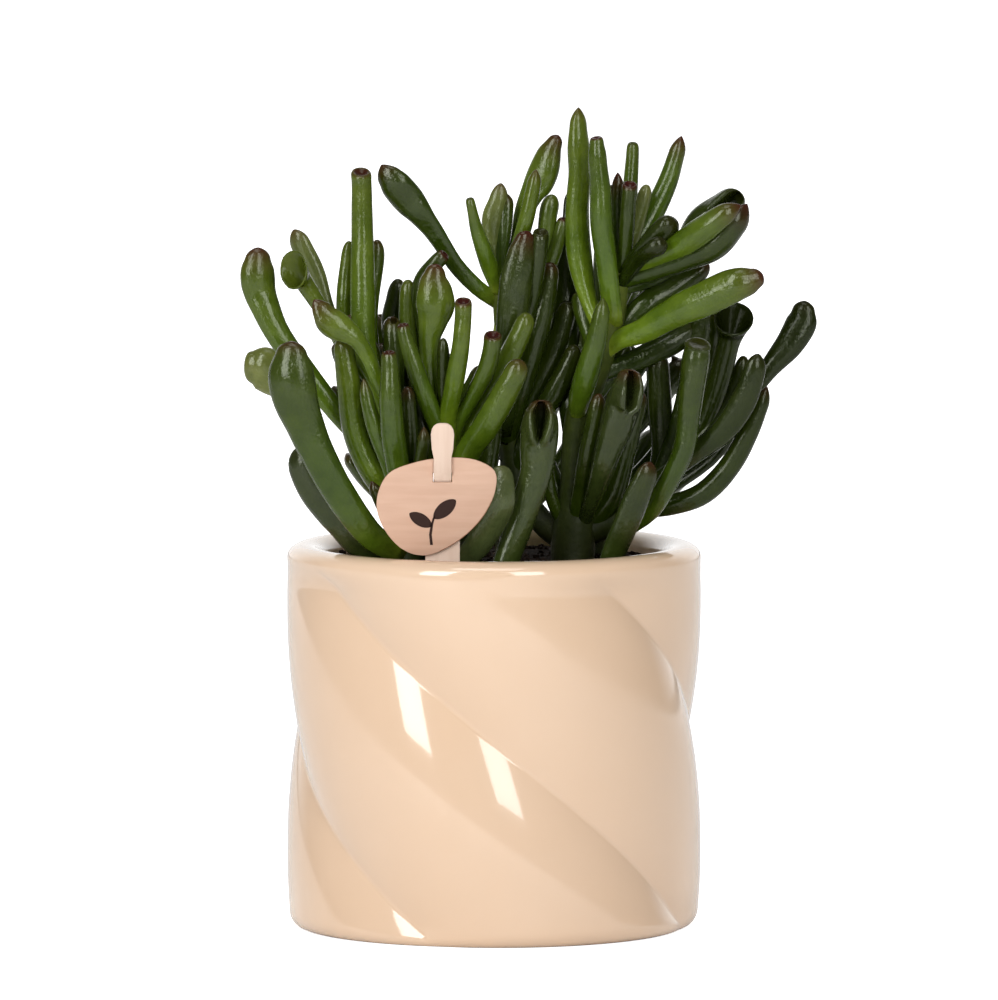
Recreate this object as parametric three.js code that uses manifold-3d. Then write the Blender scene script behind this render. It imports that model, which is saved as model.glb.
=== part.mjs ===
// Hobbit jade in a twisted ceramic pot: leafy stems standing in soil, with a plain wooden plant tag.
// Millimetres, +Z up, origin on the table under the middle of the pot, the front of the pot towards -Y.
import * as THREE from "three";
import { mergeVertices } from "three/addons/utils/BufferGeometryUtils.js";
import Module from "manifold-3d";

const wasm = await Module();
wasm.setup();

// Pot: four lobes wind round it, with a sharp crease between them.
const POT_RADIUS = 58;
const POT_HEIGHT = 107.5;
const POT_INNER_RADIUS = 47.4;
const POT_FLOOR = 8;
const POT_RIM_HEIGHT = 3.6; // how far the rounded rim rises above the upright walls
const POT_BASE_ROUNDING = 4.5;
const LOBES = 4;
const CREASE_DEPTH = 3.8;
const CREASE_SHARPNESS = 2.2;
const CREASE_ANGLE_AT_MIDDLE = 2.2; // degrees from the front, at the height below
const CREASE_MIDDLE = 55;
const CREASE_TURN = -1.295; // degrees for each millimetre up
const CREASE_FADE = { foot: 4, full: 13, high: 97, rim: 104.5 };
const POT_SIDES = 32;

// Soil and tag.
const SOIL_TOP = 102.5;
const SOIL_SIDES = 24;
const CLEARANCE = 0.35; // between pieces that touch
const TAG_DEPTH = -38.5;
const STAKE_ACROSS = -14.4;
const STAKE_THICKNESS = 0.9;
const DISC_THICKNESS = 0.8;
const SLOT_UP = 126; // height of the slot that the stake's neck passes through
const SLOT_HEIGHT = 3;
const SLOT_WIDTH = 5.8;

// Stems stand in plain holes in the soil.
const STEM_SIDES = 8;
const LARGEST_HOLLOW = 0.5; // cubic millimetres
const HOLE_ALLOWANCE = 1.09; // a ten-sided hole clears the corners of the stem
const SEED = 11;

// Leaf points are read in the upright plane through the pot's axis, as seen from this point in
// front of the pot, and then moved along that sight line to their own depth.
const VIEW_POINT = new THREE.Vector3(1.4, -3982, 499.5);

const COLOURS = {
  pot: 0xf1d4b4,
  soil: 0x2a1d18,
  leaf: 0x3d6426,
  wood: 0xe8bfa0,
};

// Each leaf: form, the way its broad face looks (degrees from the front, to the right), and its
// axis from tip to root as [across, depth, up, width], with no width at the tip.
const LEFT_STEM = {
  stem: [[-24, -18, 88, 8.6], [-23.5, -19, 104, 8.4], [-24, -17, 118, 7.6], [-26.5, -13, 132, 6]],
  leaves: [
    ["paddle", 10, [-66.5, -4, 190.6], [-66.4, -4, 184.6, 9.8], [-63.3, -5, 175.4, 8.8],
      [-58.3, -7, 165, 6.2], [-48, -10, 150.4, 5.4], [-28, -13, 128, 5]],
    ["paddle", -20, [-70, 10, 157.2], [-65, 10, 156.6, 12.6], [-59.4, 10, 154, 12],
      [-53, 8, 150.6, 6.4], [-42, 2, 146, 5], [-27, -11, 127, 5]],
    ["paddle", -10, [-54, -34, 164.6], [-54.6, -34, 157.4, 12.4], [-53.6, -34, 149, 13.4],
      [-50.4, -33, 138.4, 10.6], [-42.8, -30, 125.4, 9.4], [-34.6, -26, 114.6, 8], [-25, -21, 106, 6]],
    ["paddle", -20, [-53.7, -23, 134.8], [-53.8, -23, 128.6, 7.8], [-49.8, -23, 121, 8.6],
      [-43.2, -22, 112.8, 8], [-37.4, -21, 106.4, 6.6], [-26, -19, 106, 6]],
    ["finger", 0, [-42.4, -17, 166], [-41.8, -17, 160.6, 5.8], [-40.5, -17, 151, 6.8],
      [-38.8, -17, 138, 6.8], [-33.4, -17, 126, 6.4], [-25, -17, 116, 5]],
    ["point", 0, [-40.8, -4, 192.4], [-41, -4, 185, 3.6], [-41.8, -5, 168, 4], [-38.6, -8, 148, 4],
      [-27, -13, 126, 4]],
    ["trumpet", -55, [-57, -13, 185], [-51.8, -12, 179, 7], [-47, -12, 171, 5.6],
      [-41.2, -12, 162, 4.8], [-34, -12, 151, 4.6], [-27, -13, 129, 5]],
    ["finger", -20, [-56, 3, 196], [-53.6, 3, 191, 6.8], [-50.2, 3, 183, 6.6], [-46.8, 2, 173, 5],
      [-40, -2, 158, 4.4], [-27, -12, 129, 4]],
    ["paddle", 15, [-49.8, -23, 175], [-46, -23, 171, 8.4], [-41, -23, 163.4, 6.8], [-35, -22, 155, 5],
      [-28.4, -21, 145, 4.8], [-25.4, -16, 129, 4.4]],
    ["finger", 0, [-40.2, -10, 171.8], [-39.6, -10, 167, 4.8], [-38.4, -11, 155, 5],
      [-35, -12, 143, 5], [-27, -14, 126, 4.6]],
    ["finger", 30, [-37, -8, 213], [-36.9, -8, 207.4, 7.2], [-36.7, -8, 190, 7.2], [-36.7, -9, 170, 6.8],
      [-35.2, -10, 150, 5.8], [-27, -12, 127, 5]],
    ["finger", 0, [-32.6, 2, 192.8], [-32.8, 2, 187.4, 4.4], [-34.8, 1, 170, 4.6],
      [-32.6, -2, 152, 4.6], [-26.6, -11, 130, 4.6]],
    ["finger", 0, [-29.5, -28, 161.8], [-29.2, -28, 157, 5], [-29, -28, 149, 6.4], [-28.3, -27, 138, 6.8],
      [-26.6, -24, 127, 6.6], [-24, -18, 112, 5.4]],
    ["point", 0, [-36.5, -24, 153.8], [-35.6, -24, 148.4, 3.8], [-33.4, -24, 140, 4.6],
      [-29.6, -23, 130, 4.6], [-24.6, -18, 114, 4.4]],
    ["finger", 0, [-24.2, -19, 151.5], [-24, -19, 147, 4.4], [-23.4, -18, 137, 4.6],
      [-24, -17, 120, 4.4]],
    ["point", 0, [-19.6, -29, 140.2], [-19.6, -29, 136.4, 3.6], [-20.6, -27, 129, 3.8],
      [-23.4, -19, 113, 4]],
    ["point", 0, [-34.4, -25, 125], [-33, -25, 121.8, 3.6], [-30, -23, 116, 4], [-24.6, -19, 109, 4]],
  ],
  shoots: [{ leaves: 6, from: 1.6, sweep: [96, 168], rise: [44, 70], reach: [34, 46], widest: 6.6 }],
};

const MIDDLE_STEM = {
  stem: [[-8, -11, 88, 8], [-8.4, -11, 104, 8], [-10, -10, 122, 7], [-12.6, -9, 136, 6]],
  leaves: [
    ["finger", -10, [-26.6, 7, 181.8], [-27.4, 7, 176.6, 5.4], [-28.6, 6, 169, 6], [-25, 3, 157, 5.4],
      [-13, -7, 134, 4.6]],
    ["finger", 0, [-24, -1, 181.6], [-24.2, -1, 177, 4.6], [-24.2, -1, 168, 4.8], [-21.6, -3, 154, 4.6],
      [-13, -8, 134, 4.4]],
    ["spoon", 20, [-13.2, 6, 189], [-16.8, 6, 185.4, 6], [-20.2, 6, 180.4, 6.4], [-20.6, 5, 168, 4.8],
      [-18.6, 0, 152, 4.6], [-13, -7, 135, 4.4]],
    ["paddle", 0, [-15.7, -11, 185.2], [-16, -11, 180.8, 9.4], [-16.4, -11, 175.4, 11],
      [-17.4, -11, 169.4, 7], [-18.2, -11, 160, 5], [-16.6, -10, 140, 5], [-12.6, -9, 130, 4.6]],
    ["finger", 0, [-25.6, -18, 169.4], [-24.8, -18, 164.6, 4.2], [-21.8, -18, 156, 5.6],
      [-18.6, -17, 147.3, 5.6], [-15.4, -14, 139, 5], [-12, -10, 129, 4.6]],
    ["finger", 0, [-8.6, -22, 176.6], [-8.6, -22, 171.4, 5.8], [-9.3, -22, 163, 6.6], [-11, -20, 153, 6.2],
      [-12.8, -16, 142.6, 5], [-12.4, -10, 130, 4.6]],
    ["point", 0, [-14.2, -17, 165.2], [-14.2, -17, 160.6, 3.4], [-14.2, -15, 150, 3.8],
      [-12.8, -10, 132, 4]],
    ["finger", 0, [-0.3, -20, 167.2], [-0.5, -20, 162.8, 5.3], [-2, -19, 156.4, 5.2],
      [-6, -16, 148.4, 4.6], [-10.6, -13, 139.6, 4], [-12, -10, 131, 4]],
    ["finger", 0, [-3.2, -10, 157.4], [-4.6, -10, 154, 5], [-7, -10, 149, 5], [-12, -9, 133, 4.6]],
    ["finger", 0, [9.6, -12, 172.2], [8.2, -12, 168.2, 6], [5, -12, 161.2, 6.5], [1, -12, 153.2, 6.2],
      [-4, -11, 144, 5.4], [-11, -10, 128, 5]],
    ["finger", 0, [7.8, -25, 159], [6, -25, 155.4, 6.6], [2.8, -24, 149, 7.6], [-2.4, -22, 140, 7.6],
      [-8, -18, 131.4, 7], [-10, -12, 119, 5.6]],
    ["paddle", 20, [3, -33, 129], [3, -33, 123.6, 6.8], [1.6, -32, 117, 7.8], [-1.8, -28, 110.6, 7.4],
      [-7, -14, 106, 5.6]],
    ["point", 0, [-1, -18, 121], [-1.8, -18, 117.4, 3.8], [-4, -16, 112.6, 4], [-8, -12, 107, 4]],
    ["finger", 10, [0.4, -8, 150], [0, -8, 145, 5.4], [-1.4, -8, 134, 6.4], [-4, -9, 118, 6.2],
      [-8, -11, 106, 5.4]],
  ],
  shoots: [{ leaves: 4, from: 2, sweep: [84, 128], rise: [62, 80], reach: [22, 30], widest: 5.8 }],
};

const FRONT_STEM = {
  stem: [[1.6, -27, 88, 7], [3.4, -26.4, 101, 7.2], [4.6, -26, 106, 6.6]],
  leaves: [
    ["spoon", 0, [13.2, -26, 147.6], [13, -26, 143.4, 9.6], [12.6, -26, 137.6, 10.7], [12, -26, 129.4, 9.4],
      [9.8, -26, 121, 8], [7, -26, 112.6, 7.8], [3.2, -26.4, 101, 6.6]],
  ],
};

const MAIN_STEM = {
  stem: [[22, 0, 88, 12], [22, 0, 104, 12.2], [22.5, 0, 112, 12.4], [23.4, 0, 122, 10], [23.6, 0, 142, 8],
    [28.5, -2, 156, 7.6], [33, -3, 170, 7], [35.6, -4, 187, 5.6]],
  branches: [
    [[22, 0, 108, 9], [13, 6, 114, 7], [6, 9, 126, 6.6], [3.4, 8, 146, 6.2], [3, 6, 164, 5.4],
      [1.6, 6, 180, 5]],
    [[23, 1, 110, 9], [35, 1, 114.6, 7.6], [45, 1, 122, 6]],
  ],
  leaves: [
    // The left shoot, carried by the first branch.
    ["paddle", -15, [-31.5, -4, 213], [-28.9, -4, 208.8, 10.4], [-24.8, -3, 203.8, 11],
      [-17.9, 0, 196.6, 7.2], [-12.8, 2, 188.2, 5.8], [-5.8, 4, 180, 5.4], [1.4, 6, 175, 4.6]],
    ["point", 0, [-6.9, -3, 204.6], [-6.2, -3, 200, 4], [-3.4, 0, 191, 4.8], [0.6, 5, 179, 4.4]],
    ["finger", 0, [2, 9, 208.6], [0.9, 9, 203.6, 5.8], [-1.1, 9, 192, 5], [0.8, 6, 177, 4.6]],
    ["finger", 15, [9, -4, 195.4], [8.2, -4, 191, 4.6], [6.4, -4, 182, 8.6], [5, -4, 169, 9.2],
      [3.8, -2, 157, 7.8], [3, 6, 138, 6]],
    ["point", 0, [11.8, 1, 212.5], [11.2, 1, 208.4, 4], [9.4, 1, 200, 4.4], [4, 4, 180, 4.4],
      [1.6, 6, 166, 4]],
    ["paddle", -20, [18.6, 15, 221.6], [15.7, 15, 216.6, 8.4], [13.3, 15, 212, 9.6], [10, 14, 203, 7.6],
      [6.8, 12, 190, 5.6], [3, 7, 174, 5]],
    ["spoon", 0, [15.6, 5, 205.4], [15.2, 5, 200.4, 4.8], [13.6, 5, 188, 4.8], [8, 6, 170, 4.8],
      [2.4, 7, 154, 4.6]],
    ["trumpet", 0, [13.2, -3, 194.6], [12.7, -3, 188, 4.4], [10, 0, 174, 4.8], [2.4, 6, 158, 4.6]],
    ["finger", 0, [19.7, 4, 199], [18.8, 4, 195.2, 3.9], [16, 4, 186.6, 4.2], [10, 6, 172, 4.4],
      [2.4, 7, 152, 4.4]],
    ["finger", 0, [20.6, 14, 205.6], [20.8, 14, 201, 3], [19.6, 14, 190, 3.6], [16.4, 13, 176, 4.4],
      [4, 8, 156, 4.4]],
    ["finger", 0, [15.9, 2, 186.4], [15.4, 2, 182, 5.6], [12.6, 2, 168.4, 7], [8.4, 3, 154, 6.6],
      [3, 8, 136, 6]],
    ["finger", 0, [20.9, 9, 175.6], [20, 9, 171.6, 5.8], [16.4, 9, 160, 7], [11, 9, 148.4, 6.4],
      [4, 9, 130, 6]],
    ["finger", 0, [22.9, 3, 163.2], [21.6, 3, 159.2, 5.6], [18, 3, 151.6, 6.6], [12, 5, 142, 6],
      [5, 9, 126, 5.6]],
    // The tall right shoot.
    ["finger", 20, [23.6, 3, 229.9], [23.9, 3, 225.2, 6.4], [24.2, 3, 214, 6.6], [23.4, 3, 200, 7.4],
      [24, 3, 187, 7.2], [27, 1, 174, 4.8], [31.6, -3, 164, 4]],
    ["finger", -15, [28.4, -11, 221.4], [28.5, -11, 217, 5.2], [28.8, -11, 206, 6.6], [29.4, -11, 193, 7.2],
      [31.4, -9, 181.6, 6.8], [33.6, -4, 169, 5.4]],
    ["finger", 0, [30.6, -13, 176.4], [30, -13, 171.6, 4.8], [28.2, -12, 163, 6.2], [25, -9, 152, 6.8],
      [23.6, -1, 136, 5.4]],
    ["paddle", -20, [73.9, -20, 184.3], [70.2, -20, 181.8, 10], [65, -19, 178, 11], [56, -16, 173.8, 9],
      [46, -12, 169, 7], [37, -8, 165.6, 5.2], [29.6, -3, 160, 4.6]],
    ["paddle", -25, [70.5, -19, 202.4], [66.7, -19, 199.6, 8.2], [60.8, -17, 194.9, 9.2],
      [52.8, -14, 188.6, 7.8], [44.4, -10, 185.6, 6.2], [35.4, -4, 184, 5]],
    ["spoon", -20, [69.6, 6, 205.4], [65, 6, 202.2, 8.8], [58.6, 5, 197.2, 10], [53, 3, 189.4, 7.2],
      [45.6, 0, 182.6, 5.2], [34.8, -3, 179, 4.6]],
    ["paddle", -20, [59.8, 2, 186.6], [56, 2, 183.8, 7.6], [49.6, 1, 179.2, 8.4], [42, -1, 174, 7.2],
      [31.6, -3, 163, 5]],
    ["finger", 0, [52.4, 5, 221.8], [51, 5, 217.4, 5.6], [48.6, 4, 209.6, 6.4], [45, 2, 201, 6.2],
      [36, -4, 184, 4.8]],
    ["finger", 0, [38.8, 8, 220.2], [38.6, 8, 216, 4.6], [38, 6, 204, 4.6], [36, -3, 186, 4]],
    ["trumpet", 0, [38, -9, 209], [37.6, -9, 202, 4.4], [37, -8, 194, 4.4], [35.4, -4, 182, 4.4]],
    ["point", 0, [34.6, -3, 211.6], [34.6, -3, 207.6, 3.4], [34.4, -3, 198, 3.8], [35.4, -4, 184, 4]],
    ["finger", 0, [42.8, -11, 208.2], [41.8, -11, 204.2, 4], [39.8, -9, 196.6, 4.2], [35.8, -4, 184, 4]],
    ["finger", -30, [49.8, -22, 198.2], [48.2, -19, 197.2, 7.4], [44, -13, 193, 6.6], [35.6, -4, 183, 4.6]],
    ["finger", -10, [43.4, -22, 193.6], [42.4, -19, 192.6, 5.6], [39.6, -12, 189, 5.4], [35.4, -4, 180, 4.6]],
    // Leaves of the right branch.
    ["paddle", -15, [87.2, 12, 175.6], [86.4, 12, 170.6, 9.4], [82.8, 11, 163.6, 8.4], [77, 10, 157.4, 5.8],
      [71.4, 9, 148.6, 4.6], [62, 7, 133, 4.6], [45.6, 2, 121, 4.6]],
    ["finger", 0, [76.4, -7, 151.6], [74.7, -7, 146.6, 4.6], [71.1, -7, 138.6, 5.8], [66.3, -6, 129.6, 6.2],
      [59, -5, 121.8, 6.4], [49.8, -3, 118.2, 5.8], [38, 0, 117, 5.4]],
    ["finger", 0, [73.9, -14, 160.8], [72.8, -14, 155.8, 6.2], [69.8, -13, 147.4, 7.6], [64, -11, 139, 7.2],
      [56.2, -8, 132.8, 5.8], [44, 0, 123.6, 5]],
    ["finger", 0, [70, 2, 160.2], [68.8, 2, 155, 4.6], [63.4, 2, 144, 5.2], [45, 1, 121, 4.8]],
    ["trumpet", 10, [68.2, 3, 173], [65.4, 3, 162, 8], [62, 3, 150, 6.8], [57.6, 3, 138.8, 6.2],
      [45, 1, 121, 5.2]],
    ["spoon", 0, [57.2, -16, 165], [56.7, -16, 160, 9], [55.4, -16, 151, 8.4], [52.8, -15, 140, 7.8],
      [49.4, -13, 130.4, 7], [43.6, -9, 120, 6.2], [34, -1, 111.4, 5.6]],
    ["finger", 0, [45.4, 7, 161.6], [45.8, 7, 156.6, 6.6], [46.4, 7, 145, 7], [46.6, 6, 131, 5.6],
      [40, 2, 117, 5.4]],
    ["paddle", 20, [43.9, -19, 130.4], [42.6, -19, 126.4, 6.4], [39.8, -18, 120, 7.8],
      [36.6, -17, 112, 7.6], [33.8, -14, 106.8, 6.6], [23.6, -2, 106, 5.6]],
    ["paddle", 0, [59, 8, 168], [55, 8, 167, 6.4], [49, 7, 163.6, 7.4], [42, 4, 160, 6.6],
      [29.6, -1, 155, 5]],
    ["paddle", 0, [59.8, 8, 175.6], [59.4, 8, 170, 9.6], [57.4, 8, 160, 9.2], [53, 6, 144, 6.4],
      [45, 2, 122, 5]],
    // Leaves of the trunk itself.
    ["finger", 0, [19.2, 14, 196], [18.8, 14, 190, 6], [18.2, 13, 176, 7], [18.4, 10, 160, 7],
      [22.4, 2, 138, 6.4]],
    ["spoon", 15, [37.8, -18, 156.8], [37.2, -18, 151.4, 10.2], [34.6, -17, 144.4, 10.4],
      [31.6, -15, 136, 9.2], [29, -11, 126, 8], [26, -6, 114, 6.4], [22.6, -1, 106, 5.6]],
    ["finger", 0, [29.5, -11, 149.6], [28.6, -11, 144.6, 4.8], [26.2, -10, 134, 5.2],
      [23.6, -5, 118, 5], [22, 0, 108, 4.8]],
    ["finger", 0, [41, -5, 150.3], [40, -5, 145.6, 5.4], [36.8, -4, 133, 5.8], [32.4, -2, 119, 6.2],
      [23.4, 0, 110, 5]],
    ["point", 0, [14.6, -4, 131.4], [15.1, -4, 127.4, 3.5], [16.2, -3, 120, 3.6], [20.6, 0, 111, 4]],
  ],
  shoots: [
    { leaves: 9, from: 4, sweep: [28, 128], rise: [48, 74], reach: [20, 28], widest: 6.6 },
    { branch: 0, leaves: 5, from: 3, sweep: [40, 110], rise: [56, 76], reach: [24, 32], widest: 6 },
  ],
};

// The stems behind, which the front hides. Their leaves, and those behind the other stems, follow
// the rule in shootLeaves: directions in degrees from +X towards the back.
const BACK_LEFT_STEM = {
  stem: [[-21, 20, 88, 8], [-21, 20, 104, 8], [-23, 23, 122, 6.6], [-24, 27, 140, 5.2]],
  shoots: [{ leaves: 12, from: 1.25, sweep: [92, 222], rise: [42, 70], reach: [28, 38], widest: 7.6 }],
};

const BACK_MIDDLE_STEM = {
  stem: [[4, 32, 88, 7.4], [4, 32, 104, 7.4], [5, 36, 132, 6.4], [8, 39, 156, 5.2]],
  shoots: [{ leaves: 10, from: 1.3, sweep: [26, 104], rise: [44, 76], reach: [28, 40], widest: 7.6 }],
};

const BACK_RIGHT_STEM = {
  stem: [[27, 23, 88, 8.4], [27, 23, 104, 8.4], [29, 26, 130, 7], [30, 30, 168, 5.4]],
  shoots: [{ leaves: 13, from: 1.25, sweep: [-14, 92], rise: [32, 74], reach: [28, 42], widest: 8.4 }],
};

// How thick each form is against its width.
const FORMS = {
  paddle: { flat: 0.52, sides: 6 },
  finger: { flat: 0.8, sides: 5 },
  point: { flat: 0.85, sides: 5 },
  spoon: { flat: 0.8, sides: 8 },
  trumpet: { flat: 0.95, sides: 8 },
};

const degrees = THREE.MathUtils.degToRad;

// A closed surface over rings of points, from a first middle point to a last one.
function loft(first, rings, last) {
  const sides = rings[0].length;
  const points = [first, ...rings.flat(), last];
  const triangles = [];
  const at = (ring, side) => 1 + ring * sides + (side % sides);
  for (let side = 0; side < sides; side++) {
    triangles.push(0, at(0, side + 1), at(0, side));
    for (let ring = 0; ring + 1 < rings.length; ring++) {
      const [a, b] = [at(ring, side), at(ring, side + 1)];
      const [c, d] = [at(ring + 1, side + 1), at(ring + 1, side)];
      triangles.push(a, b, c, a, c, d);
    }
    triangles.push(points.length - 1, at(rings.length - 1, side), at(rings.length - 1, side + 1));
  }
  return solidOf(points, triangles);
}

function solidOf(points, triangles) {
  const positions = new Float32Array(points.flatMap((point) => point.toArray()));
  const make = (corners) =>
    new wasm.Manifold(
      new wasm.Mesh({ numProp: 3, vertProperties: positions, triVerts: new Uint32Array(corners) }),
    );
  const solid = make(triangles);
  return solid.volume() > 0 ? solid : make(triangles.toReversed());
}

function solidOfGeometry(geometry) {
  const plain = new THREE.BufferGeometry();
  plain.setAttribute("position", geometry.getAttribute("position"));
  if (geometry.index) plain.setIndex(geometry.index);
  const merged = mergeVertices(plain, 1e-4);
  return new wasm.Manifold(
    new wasm.Mesh({
      numProp: 3,
      vertProperties: merged.attributes.position.array,
      triVerts: new Uint32Array(merged.index.array),
    }),
  );
}

// Solids fused into one body: a tiny hollow sealed between leaves is filled.
function joined(solids) {
  const whole = solids.reduce((sum, solid) => sum.add(solid));
  const bodies = whole.decompose().toSorted((a, b) => b.volume() - a.volume());
  if (bodies.slice(1).some((body) => Math.abs(body.volume()) > LARGEST_HOLLOW)) {
    throw new Error("a leaf doesn't reach its stem");
  }
  return bodies[0];
}

function geometryOf(solid) {
  const mesh = solid.getMesh();
  const geometry = new THREE.BufferGeometry();
  geometry.setAttribute("position", new THREE.BufferAttribute(mesh.vertProperties, 3));
  geometry.setIndex(new THREE.BufferAttribute(mesh.triVerts, 1));
  geometry.computeVertexNormals();
  return geometry;
}

// A repeatable random number from 0 to 1.
function randomFrom(seed) {
  let state = seed;
  return () => {
    state = (state * 1664525 + 1013904223) % 4294967296;
    return state / 4294967296;
  };
}

function alongSight([across, depth, up]) {
  const seen = new THREE.Vector3(across, 0, up);
  const nearer = (depth - VIEW_POINT.y) / (0 - VIEW_POINT.y);
  return VIEW_POINT.clone().lerp(seen, nearer);
}

// The two directions across an axis: along its width, and out of its broad face.
function crossFrame(tangent, face) {
  const toFace = new THREE.Vector3(Math.sin(degrees(face)), -Math.cos(degrees(face)), 0);
  if (Math.abs(toFace.dot(tangent)) > 0.92) toFace.set(0, 0, 1);
  const out = toFace.addScaledVector(tangent, -toFace.dot(tangent)).normalize();
  const wide = new THREE.Vector3().crossVectors(out, tangent).normalize();
  return { out, wide };
}

// One ring of a leaf or stem. A scoop draws the middle of its face inwards.
function ringAround(centre, tangent, { face, width, flat, sides, scoop = 0, slant = 0 }) {
  const { out, wide } = crossFrame(tangent, face);
  return Array.from({ length: sides }, (_, side) => {
    const angle = (2 * Math.PI * side) / sides;
    const acrossFace = (width / 2) * Math.cos(angle);
    let outOfFace = (width / 2) * flat * Math.sin(angle);
    if (outOfFace > 0) outOfFace *= 1 - scoop * Math.sin(angle) ** 2;
    return centre
      .clone()
      .addScaledVector(wide, acrossFace)
      .addScaledVector(out, outOfFace)
      .addScaledVector(tangent, -slant * outOfFace);
  });
}

// The curve through written points, with its width at any place on it.
function tracedAxis(points) {
  const curve = new THREE.CatmullRomCurve3(points.map((point) => point.place), false, "centripetal");
  const last = points.length - 1;
  return (step) => {
    const from = Math.min(Math.floor(step), last - 1);
    const width = THREE.MathUtils.lerp(points[from].width, points[from + 1].width, step - from);
    const t = step / last;
    return { centre: curve.getPoint(t), tangent: curve.getTangent(t), width };
  };
}

// Written points moved to their own depth, each with its width.
function placed(written) {
  return written.map((point) => ({ place: alongSight(point), width: point[3] }));
}

function stemSolid(written) {
  const points = placed(written);
  const axis = tracedAxis(points);
  const steps = points.map((_, index) => axis(index));
  const rings = steps.map(({ centre, tangent, width }) =>
    ringAround(centre, tangent, { face: 0, width, flat: 1, sides: STEM_SIDES }),
  );
  return loft(steps[0].centre, rings, steps.at(-1).centre);
}

const TIP_STEP = 0.62; // how far up the rounded tip its one ring lies
const SCOOP = 1.25;
const MOUTH = { lip: 0.74, well: 0.42, deep: 0.7, slant: 0.5, flare: 1.35 };

function leafSolid([form, face, tip, ...rest]) {
  const { flat, sides } = FORMS[form];
  const points = placed([...rest].reverse());
  points.push({ place: alongSight(tip), width: rest[0][3] });
  const axis = tracedAxis(points);
  const last = points.length - 1;
  const section = { face, flat, sides };
  const rings = [];
  for (let step = 0; step < last; step++) {
    const { centre, tangent, width } = axis(step);
    const scoop = form === "spoon" && step >= last - 2 ? SCOOP : 0;
    rings.push(ringAround(centre, tangent, { ...section, width, scoop }));
  }
  if (form === "trumpet") return trumpetEnd(axis, last, rings, section);
  const cap = axis(last - 1 + TIP_STEP);
  const width = cap.width * Math.sqrt(1 - TIP_STEP ** 2);
  const scoop = form === "spoon" ? SCOOP * 0.6 : 0;
  rings.push(ringAround(cap.centre, cap.tangent, { ...section, width, scoop }));
  return loft(axis(0).centre, rings, points[last].place);
}

// The open end of a rolled leaf: a flared lip round a shallow well.
function trumpetEnd(axis, last, rings, section) {
  const { centre, tangent, width } = axis(last);
  const mouth = width * MOUTH.flare;
  const slanted = { ...section, slant: MOUTH.slant };
  const well = centre.clone().addScaledVector(tangent, -mouth * MOUTH.deep);
  rings.push(ringAround(centre, tangent, { ...slanted, width: mouth }));
  rings.push(ringAround(centre, tangent, { ...slanted, width: mouth * MOUTH.lip }));
  rings.push(ringAround(well, tangent, { ...section, width: mouth * MOUTH.well }));
  return loft(axis(0).centre, rings, well);
}

const TURN_OF_LEAVES = 0.618; // of the sweep, from one leaf to the next up a stem
const SHOOT_FORMS = ["finger", "paddle", "spoon"];
// A leaf by rule, at shares of its reach: how far it sags, and its width.
const SHOOT_LEAF = [
  { out: 0, sag: 0, width: 0.6 },
  { out: 0.35, sag: 0.05, width: 0.68 },
  { out: 0.72, sag: 0.04, width: 0.95 },
  { out: 0.9, sag: 0, width: 1 },
  { out: 1, sag: -0.03, width: 1 },
];

// Leaves up a stem by rule: each turned on from the last one, inside the sweep of directions,
// leaning out low down and standing up at the top.
function shootLeaves(written, shoot, random) {
  const points = placed(written);
  const axis = tracedAxis(points);
  const [sweepFrom, sweepTo] = shoot.sweep;
  return Array.from({ length: shoot.leaves }, (_, index) => {
    const share = index / (shoot.leaves - 1);
    const root = axis(THREE.MathUtils.lerp(shoot.from, points.length - 1.02, share)).centre;
    const heading = THREE.MathUtils.lerp(sweepFrom, sweepTo, (index * TURN_OF_LEAVES) % 1);
    const rise = degrees(THREE.MathUtils.lerp(...shoot.rise, share) + 8 * random());
    const reach = THREE.MathUtils.lerp(...shoot.reach, random());
    const widest = shoot.widest * (0.8 + 0.25 * random());
    const outwards = new THREE.Vector3(Math.cos(degrees(heading)), Math.sin(degrees(heading)), 0);
    const places = SHOOT_LEAF.map(({ out, sag, width }) => ({
      place: root
        .clone()
        .addScaledVector(outwards, out * reach * Math.cos(rise))
        .add(new THREE.Vector3(0, 0, reach * (out * Math.sin(rise) - sag))),
      width: width * widest,
    }));
    return { form: SHOOT_FORMS[index % SHOOT_FORMS.length], face: heading + 90, places };
  });
}

function ruledLeafSolid({ form, face, places }) {
  const { flat, sides } = FORMS[form];
  const axis = tracedAxis(places);
  const last = places.length - 1;
  const rings = [0, 1.4, 2.6, last - 1 + TIP_STEP].map((step) => {
    const { centre, tangent, width } = axis(step);
    const round = step > last - 1 ? Math.sqrt(1 - TIP_STEP ** 2) : 1;
    const scoop = form === "spoon" && step >= 2 ? SCOOP * 0.8 : 0;
    return ringAround(centre, tangent, { face, flat, sides, width: width * round, scoop });
  });
  return loft(places[0].place, rings, places[last].place);
}

function leafyStem(plan, random) {
  const { stem, branches = [], leaves = [], shoots = [] } = plan;
  const ruled = shoots.flatMap((shoot) =>
    shootLeaves(shoot.branch === undefined ? stem : branches[shoot.branch], shoot, random),
  );
  const wood = [stem, ...branches].map(stemSolid);
  return joined([...wood, ...leaves.map(leafSolid), ...ruled.map(ruledLeafSolid)]);
}

// How far the relief of the lobes stands in at a height, from 0 to 1.
function reliefAt(up) {
  const rise = THREE.MathUtils.smoothstep(up, CREASE_FADE.foot, CREASE_FADE.full);
  return rise * (1 - THREE.MathUtils.smoothstep(up, CREASE_FADE.high, CREASE_FADE.rim));
}

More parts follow.
